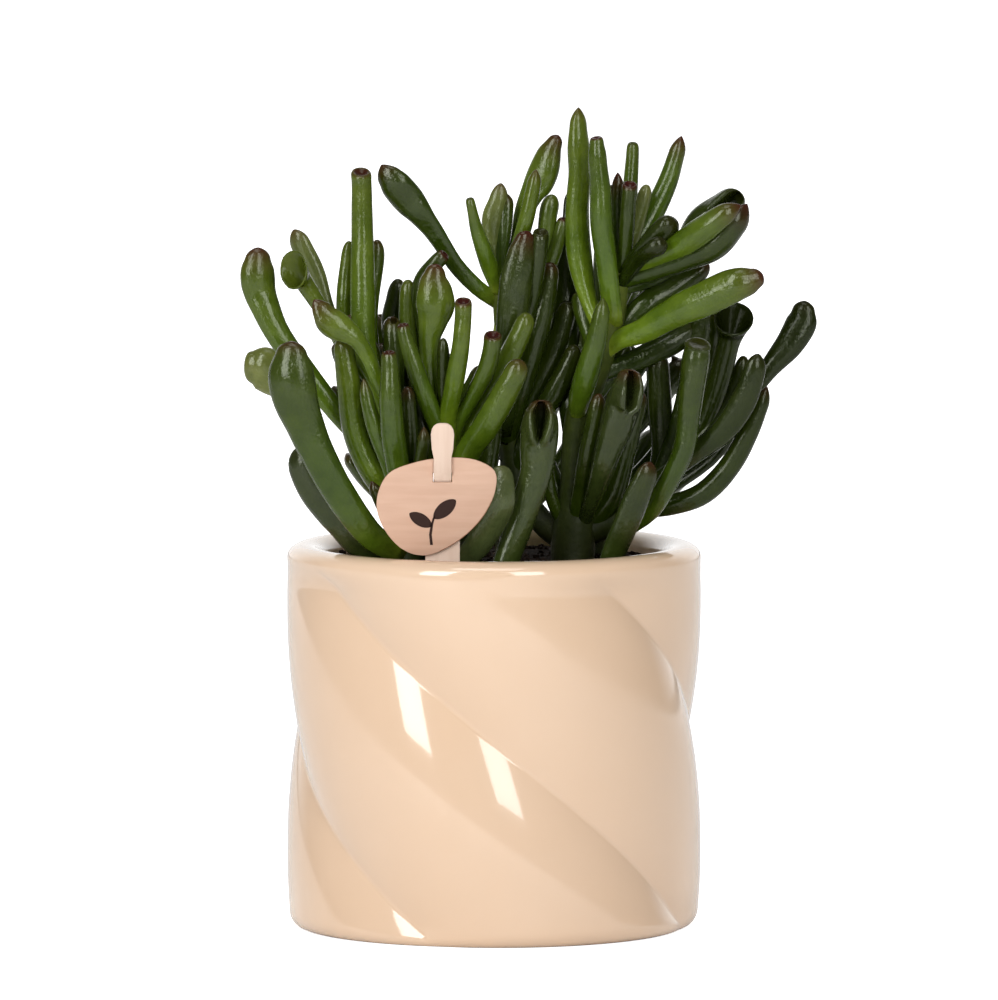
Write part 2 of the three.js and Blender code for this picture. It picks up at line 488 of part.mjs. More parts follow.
function potRing(radius, up, creased) {
  const turn = CREASE_ANGLE_AT_MIDDLE + CREASE_TURN * (up - CREASE_MIDDLE);
  return Array.from({ length: POT_SIDES }, (_, side) => {
    const fromCrease = ((side % (POT_SIDES / LOBES)) * LOBES) / POT_SIDES;
    const near = Math.abs(1 - 2 * fromCrease);
    const inset = creased ? CREASE_DEPTH * reliefAt(up) * near ** CREASE_SHARPNESS : 0;
    const angle = degrees(turn + (360 * side) / POT_SIDES);
    const r = radius - inset;
    return new THREE.Vector3(r * Math.sin(angle), -r * Math.cos(angle), up);
  });
}

function potSolid() {
  const base = [90, 45, 0].map((angle) => [
    POT_RADIUS - POT_BASE_ROUNDING * (1 - Math.cos(degrees(angle))),
    POT_BASE_ROUNDING * (1 - Math.sin(degrees(angle))),
  ]);
  const wall = [13, 24, 35, 46, 57, 68, 79, 90, 98].map((up) => [POT_RADIUS, up]);
  const rimMiddle = (POT_RADIUS + POT_INNER_RADIUS) / 2;
  const rimHalfWidth = (POT_RADIUS - POT_INNER_RADIUS) / 2;
  const rim = [0, 30, 60, 90, 120, 150, 180].map((angle) => [
    rimMiddle + rimHalfWidth * Math.cos(degrees(angle)),
    POT_HEIGHT - POT_RIM_HEIGHT * (1 - Math.sin(degrees(angle))),
  ]);
  const outside = [...base, ...wall, ...rim];
  const rings = outside.map(([radius, up], index) =>
    potRing(radius, up, index < base.length + wall.length),
  );
  const inner = (up) =>
    rings.at(-1).map(({ x, y }) => new THREE.Vector3(x, y, up));
  return loft(new THREE.Vector3(0, 0, 0), [...rings, inner(POT_FLOOR)], new THREE.Vector3(0, 0, POT_FLOOR));
}

function soilSolid(random, holes) {
  const radius = POT_INNER_RADIUS * Math.cos(Math.PI / POT_SIDES) - CLEARANCE;
  const ring = (r, up, rough) =>
    Array.from({ length: SOIL_SIDES }, (_, side) => {
      const angle = (2 * Math.PI * side) / SOIL_SIDES;
      return new THREE.Vector3(r * Math.sin(angle), -r * Math.cos(angle), up + rough * (random() - 0.5));
    });
  const rings = [
    ring(radius, POT_FLOOR + CLEARANCE, 0),
    ring(radius, SOIL_TOP, 0.6),
    ring(radius * 0.8, SOIL_TOP, 1.2),
    ring(radius * 0.55, SOIL_TOP, 1.4),
    ring(radius * 0.3, SOIL_TOP, 1),
  ];
  const foot = new THREE.Vector3(0, 0, POT_FLOOR + CLEARANCE);
  const whole = loft(foot, rings, new THREE.Vector3(0, 0, SOIL_TOP));
  return holes.reduce((soil, hole) => soil.subtract(hole), whole);
}

// A hole that follows a stem's first stretch, wider than it by the clearance.
function stemHole({ stem }) {
  const [root, surface] = stem;
  const [low, high] = [alongSight(root), alongSight(surface)];
  const way = high.clone().sub(low).normalize();
  const width = 2 * CLEARANCE + HOLE_ALLOWANCE * Math.max(root[3], surface[3]);
  const ends = [low.addScaledVector(way, -CLEARANCE), high.addScaledVector(way, 8)];
  const rings = ends.map((centre) =>
    ringAround(centre, way, { face: 0, width, flat: 1, sides: 10 }),
  );
  return loft(ends[0], rings, ends[1]);
}

// The stake, as rows of [height, width, how far it lies behind the disc's middle plane].
const STAKE_ROWS = [
  [72, 2, 1.2],
  [80, 9.6, 1.2],
  [119, 9.6, 1.2],
  [121.5, 5, 1.2],
  [124.6, 5, 1.1],
  [127.4, 5, -1.1],
  [131.4, 4.9, -1.2],
  [134, 6, -1.2],
  [138, 6.5, -1.2],
  [140.2, 5.2, -1.2],
  [141.2, 2.6, -1.2],
];

function stakeSolid(extra = 0) {
  const middle = alongSight([STAKE_ACROSS, TAG_DEPTH, SLOT_UP]);
  const half = STAKE_THICKNESS / 2 + extra;
  const rows = STAKE_ROWS.map(([height, width, behind], index) => {
    const up = index === 0 ? height - extra : height;
    const x = width / 2 + extra;
    return [[-x, -half], [x, -half], [x, half], [-x, half]].map(
      ([across, deep]) =>
        new THREE.Vector3(middle.x + across, TAG_DEPTH + behind + deep, middle.z + up - SLOT_UP),
    );
  });
  const middleOf = (row) => row[0].clone().add(row[2]).multiplyScalar(0.5);
  return loft(middleOf(rows[0]), rows, middleOf(rows.at(-1)));
}

// The disc's outline, a rounded triangle, as [across, up].
const DISC_OUTLINE = [
  [-32.9, 119.2], [-31.2, 112.2], [-25.6, 105.7], [-19.4, 104], [-11, 107.4], [-3.4, 114.4],
  [0.3, 122], [0.3, 127.6], [-4.5, 130.7], [-12.4, 131.6], [-22.2, 130.2], [-29.8, 126.8],
];

function discSolid() {
  const places = DISC_OUTLINE.map(([across, up]) => alongSight([across, TAG_DEPTH, up]));
  const outline = new THREE.CatmullRomCurve3(places, true).getPoints(36).slice(0, -1);
  const shape = new THREE.Shape(outline.map(({ x, z }) => new THREE.Vector2(x, z)));
  const middle = alongSight([STAKE_ACROSS, TAG_DEPTH, SLOT_UP]);
  const slot = new THREE.Path();
  slot.moveTo(middle.x - SLOT_WIDTH / 2, middle.z - SLOT_HEIGHT / 2);
  slot.lineTo(middle.x + SLOT_WIDTH / 2, middle.z - SLOT_HEIGHT / 2);
  slot.lineTo(middle.x + SLOT_WIDTH / 2, middle.z + SLOT_HEIGHT / 2);
  slot.lineTo(middle.x - SLOT_WIDTH / 2, middle.z + SLOT_HEIGHT / 2);
  slot.closePath();
  shape.holes.push(slot);
  const geometry = new THREE.ExtrudeGeometry(shape, { depth: DISC_THICKNESS, bevelEnabled: false });
  geometry.rotateX(Math.PI / 2);
  geometry.translate(0, TAG_DEPTH + DISC_THICKNESS / 2, 0);
  return solidOfGeometry(geometry);
}

function meshOf(name, solid, colour, roughness) {
  const material = new THREE.MeshStandardMaterial({ color: colour, roughness, metalness: 0 });
  const mesh = new THREE.Mesh(geometryOf(solid), material);
  mesh.name = name;
  return mesh;
}

const random = randomFrom(SEED);
const stems = {
  left_leafy_stem: LEFT_STEM,
  middle_leafy_stem: MIDDLE_STEM,
  front_leafy_stem: FRONT_STEM,
  main_leafy_stem: MAIN_STEM,
  back_left_leafy_stem: BACK_LEFT_STEM,
  back_middle_leafy_stem: BACK_MIDDLE_STEM,
  back_right_leafy_stem: BACK_RIGHT_STEM,
};

const pottedJade = new THREE.Group();
pottedJade.add(meshOf("pot", potSolid(), COLOURS.pot, 0.18));
for (const [name, plan] of Object.entries(stems)) {
  pottedJade.add(meshOf(name, leafyStem(plan, random), COLOURS.leaf, 0.4));
}
const holes = [...Object.values(stems).map(stemHole), stakeSolid(CLEARANCE)];
pottedJade.add(meshOf("soil", soilSolid(random, holes), COLOURS.soil, 0.95));
pottedJade.add(meshOf("tag_stake", stakeSolid(), COLOURS.wood, 0.6));
pottedJade.add(meshOf("tag_disc", discSolid(), COLOURS.wood, 0.55));

export default pottedJade;
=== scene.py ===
import math
import random

import bpy
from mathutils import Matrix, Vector, noise


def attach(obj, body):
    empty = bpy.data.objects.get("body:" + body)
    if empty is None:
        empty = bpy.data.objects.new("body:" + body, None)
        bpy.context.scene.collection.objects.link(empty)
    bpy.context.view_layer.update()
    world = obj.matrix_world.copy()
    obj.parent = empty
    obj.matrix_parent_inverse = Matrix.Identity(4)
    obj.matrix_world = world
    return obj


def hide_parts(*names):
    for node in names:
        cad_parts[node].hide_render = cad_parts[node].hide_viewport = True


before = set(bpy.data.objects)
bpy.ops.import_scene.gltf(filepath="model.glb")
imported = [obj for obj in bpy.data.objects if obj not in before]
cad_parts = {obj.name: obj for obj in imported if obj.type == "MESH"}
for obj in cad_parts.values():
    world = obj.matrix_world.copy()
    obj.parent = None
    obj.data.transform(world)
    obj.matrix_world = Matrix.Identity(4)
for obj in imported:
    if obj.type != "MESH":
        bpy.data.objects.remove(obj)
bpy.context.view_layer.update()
scene = bpy.context.scene
mm = 0.001
print("frame loaded:", len(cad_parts), "nodes")

# Leaf points are written in the upright plane through the pot's axis, as seen from viewPoint,
# and then moved along that line of sight to their own depth.
viewPoint = Vector((1.4, -3982, 499.5))

# Each leaf: its form and look, the way its broad face looks (degrees from the front, to the
# right), and its axis from tip to root as [across, depth, up, width], with no width at the tip.
# A stem or branch is written from its root up. A shoot's leaves are set by rule round the stem,
# or the branch with that number: from which step along it, over which sweep of headings and
# rise (degrees), and how long and wide.
leftStem = {
    "stem": [[-24, -18, 88, 8.6], [-23.5, -19, 104, 8.4], [-24, -17, 118, 7.6], [-26.5, -13, 132, 6]],
    "leaves": [
        ["oval fresh red", 10, [-66, -4, 190.6], [-66, -4, 187.6, 7.2], [-66.1, -4, 184.6, 9.4],
            [-66, -4, 181.2, 9.9], [-65.4, -4, 177.8, 9.2], [-63.9, -5, 173.6, 8.2],
            [-60.6, -6, 166.6, 7.2], [-53, -8, 156, 6.4], [-42, -11, 142, 5.6], [-28, -13, 128, 5]],
        ["paddle olive bare", -20, [-70, 10, 157.2], [-68, 10, 157.1, 9], [-65, 10, 156.6, 12.6],
            [-59.4, 10, 154, 12], [-53, 8, 150.6, 6.4], [-42, 2, 146, 5], [-27, -11, 127, 5]],
        ["oval deep", -10, [-56.4, -34, 164.3], [-56.6, -34, 161, 8.8], [-56.7, -34, 157, 12.3],
            [-56.5, -34, 152.2, 13.4], [-55.2, -34, 146.5, 12.4], [-52.5, -33, 139.7, 10.8],
            [-50, -33, 134, 9.9], [-45.6, -32, 125.3, 9.3], [-40.1, -30, 116.7, 8.6],
            [-33.9, -27, 109, 7.8], [-25, -21, 104, 6]],
        ["paddle waxy bare", -20, [-53.7, -23, 134.8], [-53.8, -23, 128.6, 7.8], [-49.8, -23, 121, 8.6],
            [-43.2, -22, 112.8, 8], [-37.4, -21, 106.4, 6.6], [-26, -19, 106, 6]],
        ["finger fresh", 0, [-42.4, -17, 166], [-41.8, -17, 160.6, 5.8], [-40.5, -17, 151, 6.8],
            [-38.8, -17, 138, 6.8], [-33.4, -17, 126, 6.4], [-25, -17, 116, 5]],
        ["finger fresh bare", 0, [-40.4, -4, 192.4], [-41, -4, 188, 3.6], [-42, -5, 176, 4.2],
            [-41.6, -5, 166, 4.2], [-38.6, -8, 148, 4], [-27, -13, 126, 4]],
        ["trumpet fresh", -32, [-56, -15, 184.2], [-52.8, -12.6, 180.2, 5.2], [-47.6, -12, 172, 4.2],
            [-41.2, -12, 162, 4], [-34, -12, 151, 4.2], [-27, -13, 129, 4.6]],
        ["oval pale", -20, [-56, 3, 195.6], [-54, 3, 191.4, 6], [-50.2, 3, 183, 6.4],
            [-46.8, 2, 173, 5], [-40, -2, 158, 4.4], [-27, -12, 129, 4]],
        ["spade fresh red", 15, [-50.4, -23, 175.9], [-48.2, -23, 172.9, 5.8], [-46.3, -23, 170.3, 8],
            [-43.5, -23, 168.3, 8.2], [-40.8, -23, 166.6, 6.6], [-38.2, -23, 164.5, 5],
            [-34.9, -22, 159.1, 4.2], [-32.5, -22, 153.2, 4.2], [-28.4, -21, 145, 4.4],
            [-25.4, -16, 129, 4.4]],
        ["finger dark", 0, [-40.2, -10, 171.8], [-39.6, -10, 167, 4.8], [-38.4, -11, 155, 5],
            [-35, -12, 143, 5], [-27, -14, 126, 4.6]],
        ["cup fresh", 10, [-37.2, -8, 213], [-37, -8, 208.4, 5.6], [-36.8, -8, 196, 6.2],
            [-36.7, -9, 178, 7.2], [-36, -10, 160, 7], [-27, -12, 127, 5]],
        ["finger", 0, [-32.6, 2, 192.8], [-32.8, 2, 187.4, 4.4], [-34.8, 1, 170, 4.6],
            [-32.6, -2, 152, 4.6], [-26.6, -11, 130, 4.6]],
        ["blunt", 0, [-29.5, -28, 161.8], [-29.2, -28, 157.6, 4.8], [-29, -28, 149, 6.2],
            [-28.3, -27, 138, 6.8], [-26.6, -24, 127, 6.6], [-24, -18, 112, 5.4]],
        ["point", 0, [-36.5, -24, 153.8], [-35.6, -24, 148.4, 3.8], [-33.4, -24, 140, 4.6],
            [-29.6, -23, 130, 4.6], [-24.6, -18, 114, 4.4]],
        ["finger shaded", 0, [-21.5, -10, 156], [-21.3, -10, 151, 5.4], [-20.6, -10, 142, 7],
            [-20.4, -11, 130, 7], [-22.4, -14, 112, 6]],
        ["finger dark", 0, [-24.2, -19, 151.5], [-24, -19, 147, 4.4], [-23.4, -18, 137, 4.6],
            [-24, -17, 120, 4.4]],
        ["point dark", 0, [-19.6, -29, 140.2], [-19.6, -29, 136.4, 3.6], [-20.6, -27, 129, 3.8],
            [-23.4, -19, 113, 4]],
        ["point dark", 0, [-34.4, -25, 125], [-33, -25, 121.8, 3.6], [-30, -23, 116, 4],
            [-24.6, -19, 109, 4]],
    ],
    "shoots": [{"leaves": 6, "from": 1.6, "sweep": [96, 168], "rise": [44, 70], "reach": [34, 46],
                "widest": 6.6}],
}

middleStem = {
    "stem": [[-8, -11, 88, 8], [-8.4, -11, 104, 8], [-10, -10, 122, 7], [-12.6, -9, 136, 6]],
    "leaves": [
        ["finger dark bare", -10, [-26.6, 7, 181.8], [-27.4, 7, 176.6, 5.4], [-28.6, 6, 169, 6],
            [-25, 3, 157, 5.4], [-13, -7, 134, 4.6]],
        ["finger fresh bare", 0, [-24, -1, 181.6], [-24.2, -1, 177, 4.6], [-24.2, -1, 168, 4.8],
            [-21.6, -3, 154, 4.6], [-13, -8, 134, 4.4]],
        ["blunt deep red", 20, [-13.2, -5, 189], [-16.4, -5, 186, 4.6], [-20, -3, 180.4, 5.6],
            [-20.8, 1, 168, 4.8], [-18.6, 0, 152, 4.6], [-13, -7, 135, 4.4]],
        ["oval fresh red", 0, [-15.8, -11, 185.9], [-16.4, -11, 183.5, 5.8], [-16.7, -11, 181.2, 8.2],
            [-16.5, -11, 177.8, 10.2], [-16.4, -11, 173.8, 10.9], [-17.1, -11, 169.8, 8.4],
            [-18, -11, 165.4, 6.3], [-18.3, -11, 160, 5.3], [-16.6, -10, 140, 5],
            [-12.6, -9, 130, 4.6]],
        ["blunt", 0, [-25.6, -18, 169.4], [-24.8, -18, 165.4, 4.2], [-21.8, -18, 156, 5.2],
            [-18.6, -17, 147.3, 5.4], [-15.4, -14, 139, 5], [-12, -10, 129, 4.6]],
        ["cup fresh red", 0, [-8.6, -22, 176.6], [-8.6, -22, 171.8, 4.7], [-9.3, -22, 163, 4.9],
            [-11, -20, 153, 5.4], [-12.8, -16, 142.6, 5], [-12.4, -10, 130, 4.6]],
        ["finger dark bare", 0, [-14.2, -17, 165.2], [-14.2, -17, 160.6, 3.4], [-14.2, -15, 150, 3.8],
            [-12.8, -10, 132, 4]],
        ["cup red", 0, [-0.3, -20, 167.2], [-0.5, -20, 162.8, 5], [-2, -19, 156.4, 5.2],
            [-6, -16, 148.4, 4.6], [-10.6, -13, 139.6, 4], [-12, -10, 131, 4]],
        ["finger", 0, [-3.2, -10, 157.4], [-4.6, -10, 154, 5], [-7, -10, 149, 5], [-12, -9, 133, 4.6]],
        ["finger fresh bare", 0, [9.6, -12, 172.2], [8.2, -12, 168.2, 5.8], [5, -12, 161.2, 6.2],
            [1, -12, 153.2, 6.2], [-4, -11, 144, 5.4], [-11, -10, 128, 5]],
        ["finger", 0, [7.8, -25, 159], [6, -25, 155.4, 6.6], [2.8, -24, 149, 7.6],
            [-2.4, -22, 140, 7.6], [-8, -18, 131.4, 7], [-10, -12, 119, 5.6]],
        ["paddle grey bare", 20, [1.8, -33, 129.4], [2, -33, 125, 7.6], [1.4, -33, 118.7, 9.2],
            [-1.3, -32, 112.6, 9], [-4.4, -31, 107.4, 8], [-7.8, -29, 102.8, 7], [-10, -25, 97, 6]],
        ["point dark", 0, [-1, -18, 121], [-1.8, -18, 117.4, 3.8], [-4, -16, 112.6, 4],
            [-8, -12, 107, 4]],
        ["finger dark", 10, [0.4, -8, 150], [0, -8, 145, 5.4], [-1.4, -8, 134, 6.4], [-4, -9, 118, 6.2],
            [-8, -11, 106, 5.4]],
    ],
    "shoots": [{"leaves": 4, "from": 2, "sweep": [84, 128], "rise": [62, 80], "reach": [22, 30],
                "widest": 5.8}],
}

frontStem = {
    "stem": [[1.2, -27, 88, 5], [1.9, -27, 97, 5.2], [2.6, -26.6, 101.5, 4.6]],
    "leaves": [
        ["spoon waxy", 0, [13.2, -26, 147.8], [13.2, -26, 146.2, 6.4], [13.1, -26, 144.4, 8.8],
            [13, -26, 142, 10.1], [12.8, -26, 139.4, 10.6], [12.6, -26, 136.4, 10.5],
            [12.3, -26, 132.6, 9.9], [12, -26, 128.4, 9.2], [9.8, -26, 121, 8.4], [7, -26, 112.6, 8],
            [3.6, -26.4, 103, 7.4], [1.6, -27, 96, 6.8]],
    ],
}

mainStem = {
    "stem": [[22, 0, 88, 12], [22, 0, 104, 12.2], [22.5, 0, 112, 12.4], [23.4, 0, 122, 10],
        [23.6, 0, 142, 8], [28.5, -2, 156, 7.6], [33, -3, 170, 7], [35.6, -4, 187, 5.6]],
    "branches": [
        [[22, 0, 108, 9], [13, 6, 114, 7], [6, 9, 126, 6.6], [3.4, 8, 146, 6.2], [3, 6, 164, 5.4],
            [1.6, 6, 180, 5]],
        [[23, 1, 110, 9], [35, 1, 114.6, 7.6], [45, 1, 122, 6]],
    ],
    "leaves": [
        # The left shoot, carried by the first branch.
        ["spade dim", -15, [-31.5, -4, 213.7], [-29.5, -4, 210.7, 7], [-27.6, -4, 208.3, 8.8],
            [-25.6, -3, 205.9, 9.4], [-23.3, -2, 203.2, 9], [-21.4, -2, 200.9, 7.9],
            [-19.3, -1, 198.2, 6.6], [-17.3, 0, 195.6, 5.8], [-14.6, 1, 191.6, 5.2],
            [-10.4, 3, 185.2, 4.8], [-4.4, 4, 179, 4.6], [1.4, 6, 175, 4.4]],
        ["blunt fresh bare", 0, [-6.9, -3, 204.6], [-6.3, -3, 201.8, 2.8], [-5, -2, 196, 3.6],
            [-3.2, -1, 190.6, 4.6], [-1, 2, 184.6, 5], [1.2, 5, 178, 3.6]],
        ["oval pale", 0, [2, 9, 208.6], [1.2, 9, 204, 5.2], [-0.2, 9, 199, 6.2], [-0.4, 9, 193, 5.6],
            [-0.6, 8, 186, 3.8], [0.8, 6, 177, 3.6]],
        ["oval dark dusty red", 15, [9.6, -4, 195.2], [8.7, -4, 192.6, 5.8], [7.9, -4, 189.7, 7.8],
            [7.5, -4, 186.9, 9], [6.3, -4, 181.2, 9.8], [5.6, -4, 175.5, 9.5], [5, -4, 169.5, 9],
            [3.8, -2, 157, 7.8], [3, 6, 138, 6]],
        ["point fresh", 0, [11.8, 1, 212.5], [11.2, 1, 208.4, 4], [9.4, 1, 200, 4.4], [4, 4, 180, 4.4],
            [1.6, 6, 166, 4]],
        ["oval fresh red", -20, [18, 15, 222], [17, 15, 220, 4.6], [15.4, 15, 216.6, 7.2],
            [14, 15, 212.2, 8.8], [12.3, 15, 208.2, 8.6], [10.6, 14, 205.4, 7], [8.6, 13, 200.8, 5.8],
            [7, 12, 192, 5.4], [3, 7, 174, 5]],
        ["finger bare", 0, [16.6, 5, 205.4], [15.4, 5, 201, 5.2], [13.6, 5, 188, 4.8], [8, 6, 170, 4.8],
            [2.4, 7, 154, 4.6]],
        ["cup dark bare", 0, [13.2, -3, 196], [12.7, -3, 189.6, 4.6], [10, 0, 174, 4.8],
            [2.4, 6, 158, 4.6]],
        ["blunt red", 0, [19.7, 4, 199], [18.8, 4, 195.6, 3.9], [16, 4, 186.6, 4.2], [10, 6, 172, 4.4],
            [2.4, 7, 152, 4.4]],
        ["finger dark bare", 0, [20.6, 14, 205.6], [20.8, 14, 201, 3], [19.6, 14, 190, 3.6],
            [16.4, 13, 176, 4.4], [4, 8, 156, 4.4]],
        ["finger dark", 0, [15.9, 2, 186.4], [15.4, 2, 182, 5.6], [12.6, 2, 168.4, 7],
            [8.4, 3, 154, 6.6], [3, 8, 136, 6]],
        ["finger dark bare", 0, [20.9, 9, 175.6], [20, 9, 171.6, 5.8], [16.4, 9, 160, 7],
            [11, 9, 148.4, 6.4], [4, 9, 130, 6]],
        ["finger dark bare", 0, [22.9, 3, 163.2], [21.6, 3, 159.2, 5.6], [18, 3, 151.6, 6.6],
            [12, 5, 142, 6], [5, 9, 126, 5.6]],
        # The tall right shoot.
        ["point fresh", 20, [23.6, 3, 229.8], [23.5, 3, 225.4, 4.9], [23.6, 3, 219, 6.3],
            [23.9, 3, 211, 6.5], [23.2, 3, 200, 6.9], [24, 3, 187, 7.2], [27, 1, 174, 4.8],
            [31.6, -3, 164, 4]],
        ["blunt red", -15, [28.5, -11, 221.8], [28.7, -11, 219.6, 4.2], [28.8, -11, 217, 5.2],
            [29.1, -11, 212.5, 5.5], [29.7, -11, 206.8, 5.9], [30, -11, 198, 6.4], [31.7, -9, 184.1, 6],
            [33.6, -4, 169, 5.4]],
        ["point bare", 0, [30.6, -13, 176.4], [30, -13, 171.6, 4.8], [28.2, -12, 163, 6.2],
            [25.4, -10, 153, 6.8], [23.8, -6, 147, 6], [23.5, 0, 142, 4.4]],
        ["oval fresh red", -20, [75.2, -20, 183], [73.7, -20, 182.2, 5.4], [71.3, -20, 181.2, 7.8],
            [68.3, -20, 180.3, 9.2], [65.3, -19, 179.1, 9.9], [59.4, -17, 176.2, 10],
            [53.4, -15, 173.7, 9.4], [47.4, -12, 170.5, 8.2], [41.4, -9, 167, 7], [35, -6, 164.6, 5.6],
            [29.6, -3, 160, 4.6]],
        ["point fresh red", -25, [69, -20, 202.4], [64.4, -20, 199.8, 6.2], [58.6, -18, 195.6, 7.6],
            [52.6, -14, 191.6, 7.4], [46.6, -11, 188.6, 5.6], [35.4, -4, 184, 5]],
        ["point dark red", 20, [70.8, -16, 202.8], [67.4, -16, 197.6, 7.6], [61.8, -15, 190.8, 7.6],
            [54, -12, 187, 6], [44, -8, 183.4, 5], [35.4, -4, 181, 4.6]],
        ["spoon dark bare", -20, [69.6, 6, 205.4], [65, 6, 202.2, 8.8], [58.6, 5, 197.2, 10],
            [53, 3, 189.4, 7.2], [45.6, 0, 182.6, 5.2], [34.8, -3, 179, 4.6]],
        ["paddle dark", -20, [59.8, 2, 186.6], [56, 2, 183.8, 7.6], [49.6, 1, 179.2, 8.4],
            [42, -1, 174, 7.2], [31.6, -3, 163, 5]],
        ["point red", 0, [52.4, 5, 221.8], [51.2, 5, 217.4, 4.6], [48.8, 4, 209.6, 5.6],
            [45, 2, 201, 6], [36, -4, 184, 4.8]],
        ["blunt bare", 0, [38.8, 8, 220.2], [38.7, 8, 217, 3.6], [38.2, 7, 209, 4.2],
            [37.4, 4, 199, 4.6], [36, -3, 186, 4]],
        ["cup dark red", 0, [38, -9, 209.2], [37.6, -9, 204.4, 4.2], [37, -8, 194, 4.4],
            [35.4, -4, 182, 4.4]],
        ["point deep red", 0, [34.6, -3, 211.6], [34.6, -3, 207.6, 3.4], [34.4, -3, 198, 3.8],
            [35.4, -4, 184, 4]],
        ["finger pale bare", 0, [42.8, -3, 208.2], [41.8, -3, 204.2, 4], [39.8, -3, 196.6, 4.2],
            [35.8, -4, 184, 4]],
        ["finger shaded bare", 40, [50.9, -14, 198.4], [48, -13, 196, 7.2], [43, -11, 191, 6.4],
            [35.6, -4, 183, 4.6]],
        ["finger shaded bare", 40, [48.2, -17, 192.4], [45.4, -17, 190.6, 5.8], [41, -12, 187.6, 5.4],
            [35.4, -4, 180, 4.6]],
        # Leaves of the right branch.
        ["oval shaded bare", -15, [87, 12, 175.6], [86.6, 12, 173, 6.6], [86, 12, 169.6, 8.8],
            [82.6, 11, 163.4, 8.2], [77, 10, 156.6, 5.8], [71.4, 9, 148.6, 4.6], [62, 7, 133, 4.6],
            [45.6, 2, 121, 4.6]],
        ["point shaded", 0, [76.4, -7, 151.6], [74.7, -7, 146.6, 4.6], [71.1, -7, 138.6, 5.8],
            [66.3, -6, 129.6, 6.2], [59, -5, 121.8, 6.4], [49.8, -3, 118.2, 5.8], [38, 0, 117, 5.4]],
        ["oval shaded dusty bare", 0, [73.9, -14, 160.8], [72.8, -14, 155.8, 6.2],
            [69.8, -13, 147.4, 7.4], [64, -11, 139, 7], [56.2, -8, 132.8, 5.8], [44, 0, 123.6, 5]],
        ["finger shaded bare", 0, [70, 2, 160.2], [68.8, 2, 155, 4.6], [63.4, 2, 144, 5.2],
            [45, 1, 121, 4.8]],
        ["trumpet shaded", -8, [67, 0, 170.4], [65.4, 0, 163, 6.3], [62, 1, 150, 6.6],
            [57.6, 3, 138.8, 6], [45, 1, 121, 5.2]],
        ["cup deep bare", 0, [57.4, -16, 165.2], [56.9, -16, 162, 7.4], [56.5, -16, 159, 8.1],
            [55.5, -16, 151.9, 7.3], [54.5, -15, 142.9, 6.6], [53.1, -15, 133.9, 6],
            [48.9, -13, 124.9, 5.8], [43.6, -9, 116.6, 5.6], [34, -1, 110, 5.2]],
        ["finger shaded", 0, [45.4, 7, 161.6], [45.8, 7, 156.6, 6.6], [46.4, 7, 145, 7],
            [46.6, 6, 131, 5.6], [40, 2, 117, 5.4]],
        ["oval dark dusty", 20, [43.9, -19, 130.4], [42.6, -19, 126.4, 6.4], [39.8, -18, 120, 7.8],
            [36.6, -17, 112, 7.6], [33.6, -16, 105, 7], [31, -15, 97, 6]],
        ["paddle dark", 0, [59, 8, 168], [55, 8, 167, 6.4], [49, 7, 163.6, 7.4], [42, 4, 160, 6.6],
            [29.6, -1, 155, 5]],
        ["paddle dark", 0, [59.8, 8, 175.6], [59.4, 8, 170, 9.6], [57.4, 8, 160, 9.2],
            [53, 6, 144, 6.4], [45, 2, 122, 5]],
        # Leaves of the trunk itself.
        ["finger shaded bare", 0, [20.4, 14, 197], [20.2, 14, 190, 7], [20, 13, 176, 8.6],
            [20, 10, 160, 8], [22.4, 2, 138, 6.4]],
        ["finger shaded", 0, [34.6, 8, 180], [33.8, 8, 174, 6.4], [31.6, 7, 162, 8], [28, 4, 146, 7],
            [23.6, 1, 128, 6]],
        ["finger shaded bare", 0, [8.4, 12, 176], [8.4, 12, 170, 7], [8.6, 12, 156, 8.4],
            [10, 10, 140, 8], [20, 4, 116, 6]],
        ["spoon waxy", 24, [38.1, -18, 156.4], [37.8, -18, 154.2, 6.8], [37.5, -18, 152, 8.6],
            [37, -18, 149.6, 9.8], [36.2, -17, 146.6, 10.4], [34.7, -17, 141.5, 9.8],
            [32.8, -16, 135.8, 8.5], [31, -15, 130.1, 7.3], [29.2, -12.4, 124.4, 6.2],
            [27, -7.4, 118, 5], [24, -1, 111, 4]],
        ["finger dark", 0, [29.5, -11, 149.6], [28.6, -11, 144.6, 4.8], [26.2, -10, 134, 5.2],
            [23.6, -5, 118, 5], [22, 0, 108, 4.8]],
        ["finger dark", 0, [41, -5, 150.3], [40, -5, 145.6, 5.4], [36.8, -4, 133, 5.8],
            [32.4, -2, 119, 6.2], [23.4, 0, 110, 5]],
        ["point dark", 0, [14.6, -4, 131.4], [15.1, -4, 127.4, 3.5], [16.2, -3, 120, 3.6],
            [20.6, 0, 111, 4]],
    ],
    "shoots": [
        {"leaves": 9, "from": 4, "sweep": [28, 128], "rise": [48, 74], "reach": [20, 28], "widest": 6.6},
        {"branch": 1, "leaves": 5, "from": 3, "sweep": [40, 110], "rise": [56, 76], "reach": [24, 32],
         "widest": 6},
    ],
}

backLeftStem = {
    "stem": [[-21, 20, 88, 8], [-21, 20, 104, 8], [-23, 23, 122, 6.6], [-24, 27, 140, 5.2]],
    "shoots": [{"leaves": 12, "from": 1.25, "sweep": [92, 222], "rise": [42, 70], "reach": [28, 38],
                "widest": 7.6}],
}

backMiddleStem = {
    "stem": [[4, 32, 88, 7.4], [4, 32, 104, 7.4], [5, 36, 132, 6.4], [8, 39, 156, 5.2]],
    "shoots": [{"leaves": 10, "from": 1.3, "sweep": [26, 104], "rise": [44, 76], "reach": [28, 40],
                "widest": 7.6}],
}

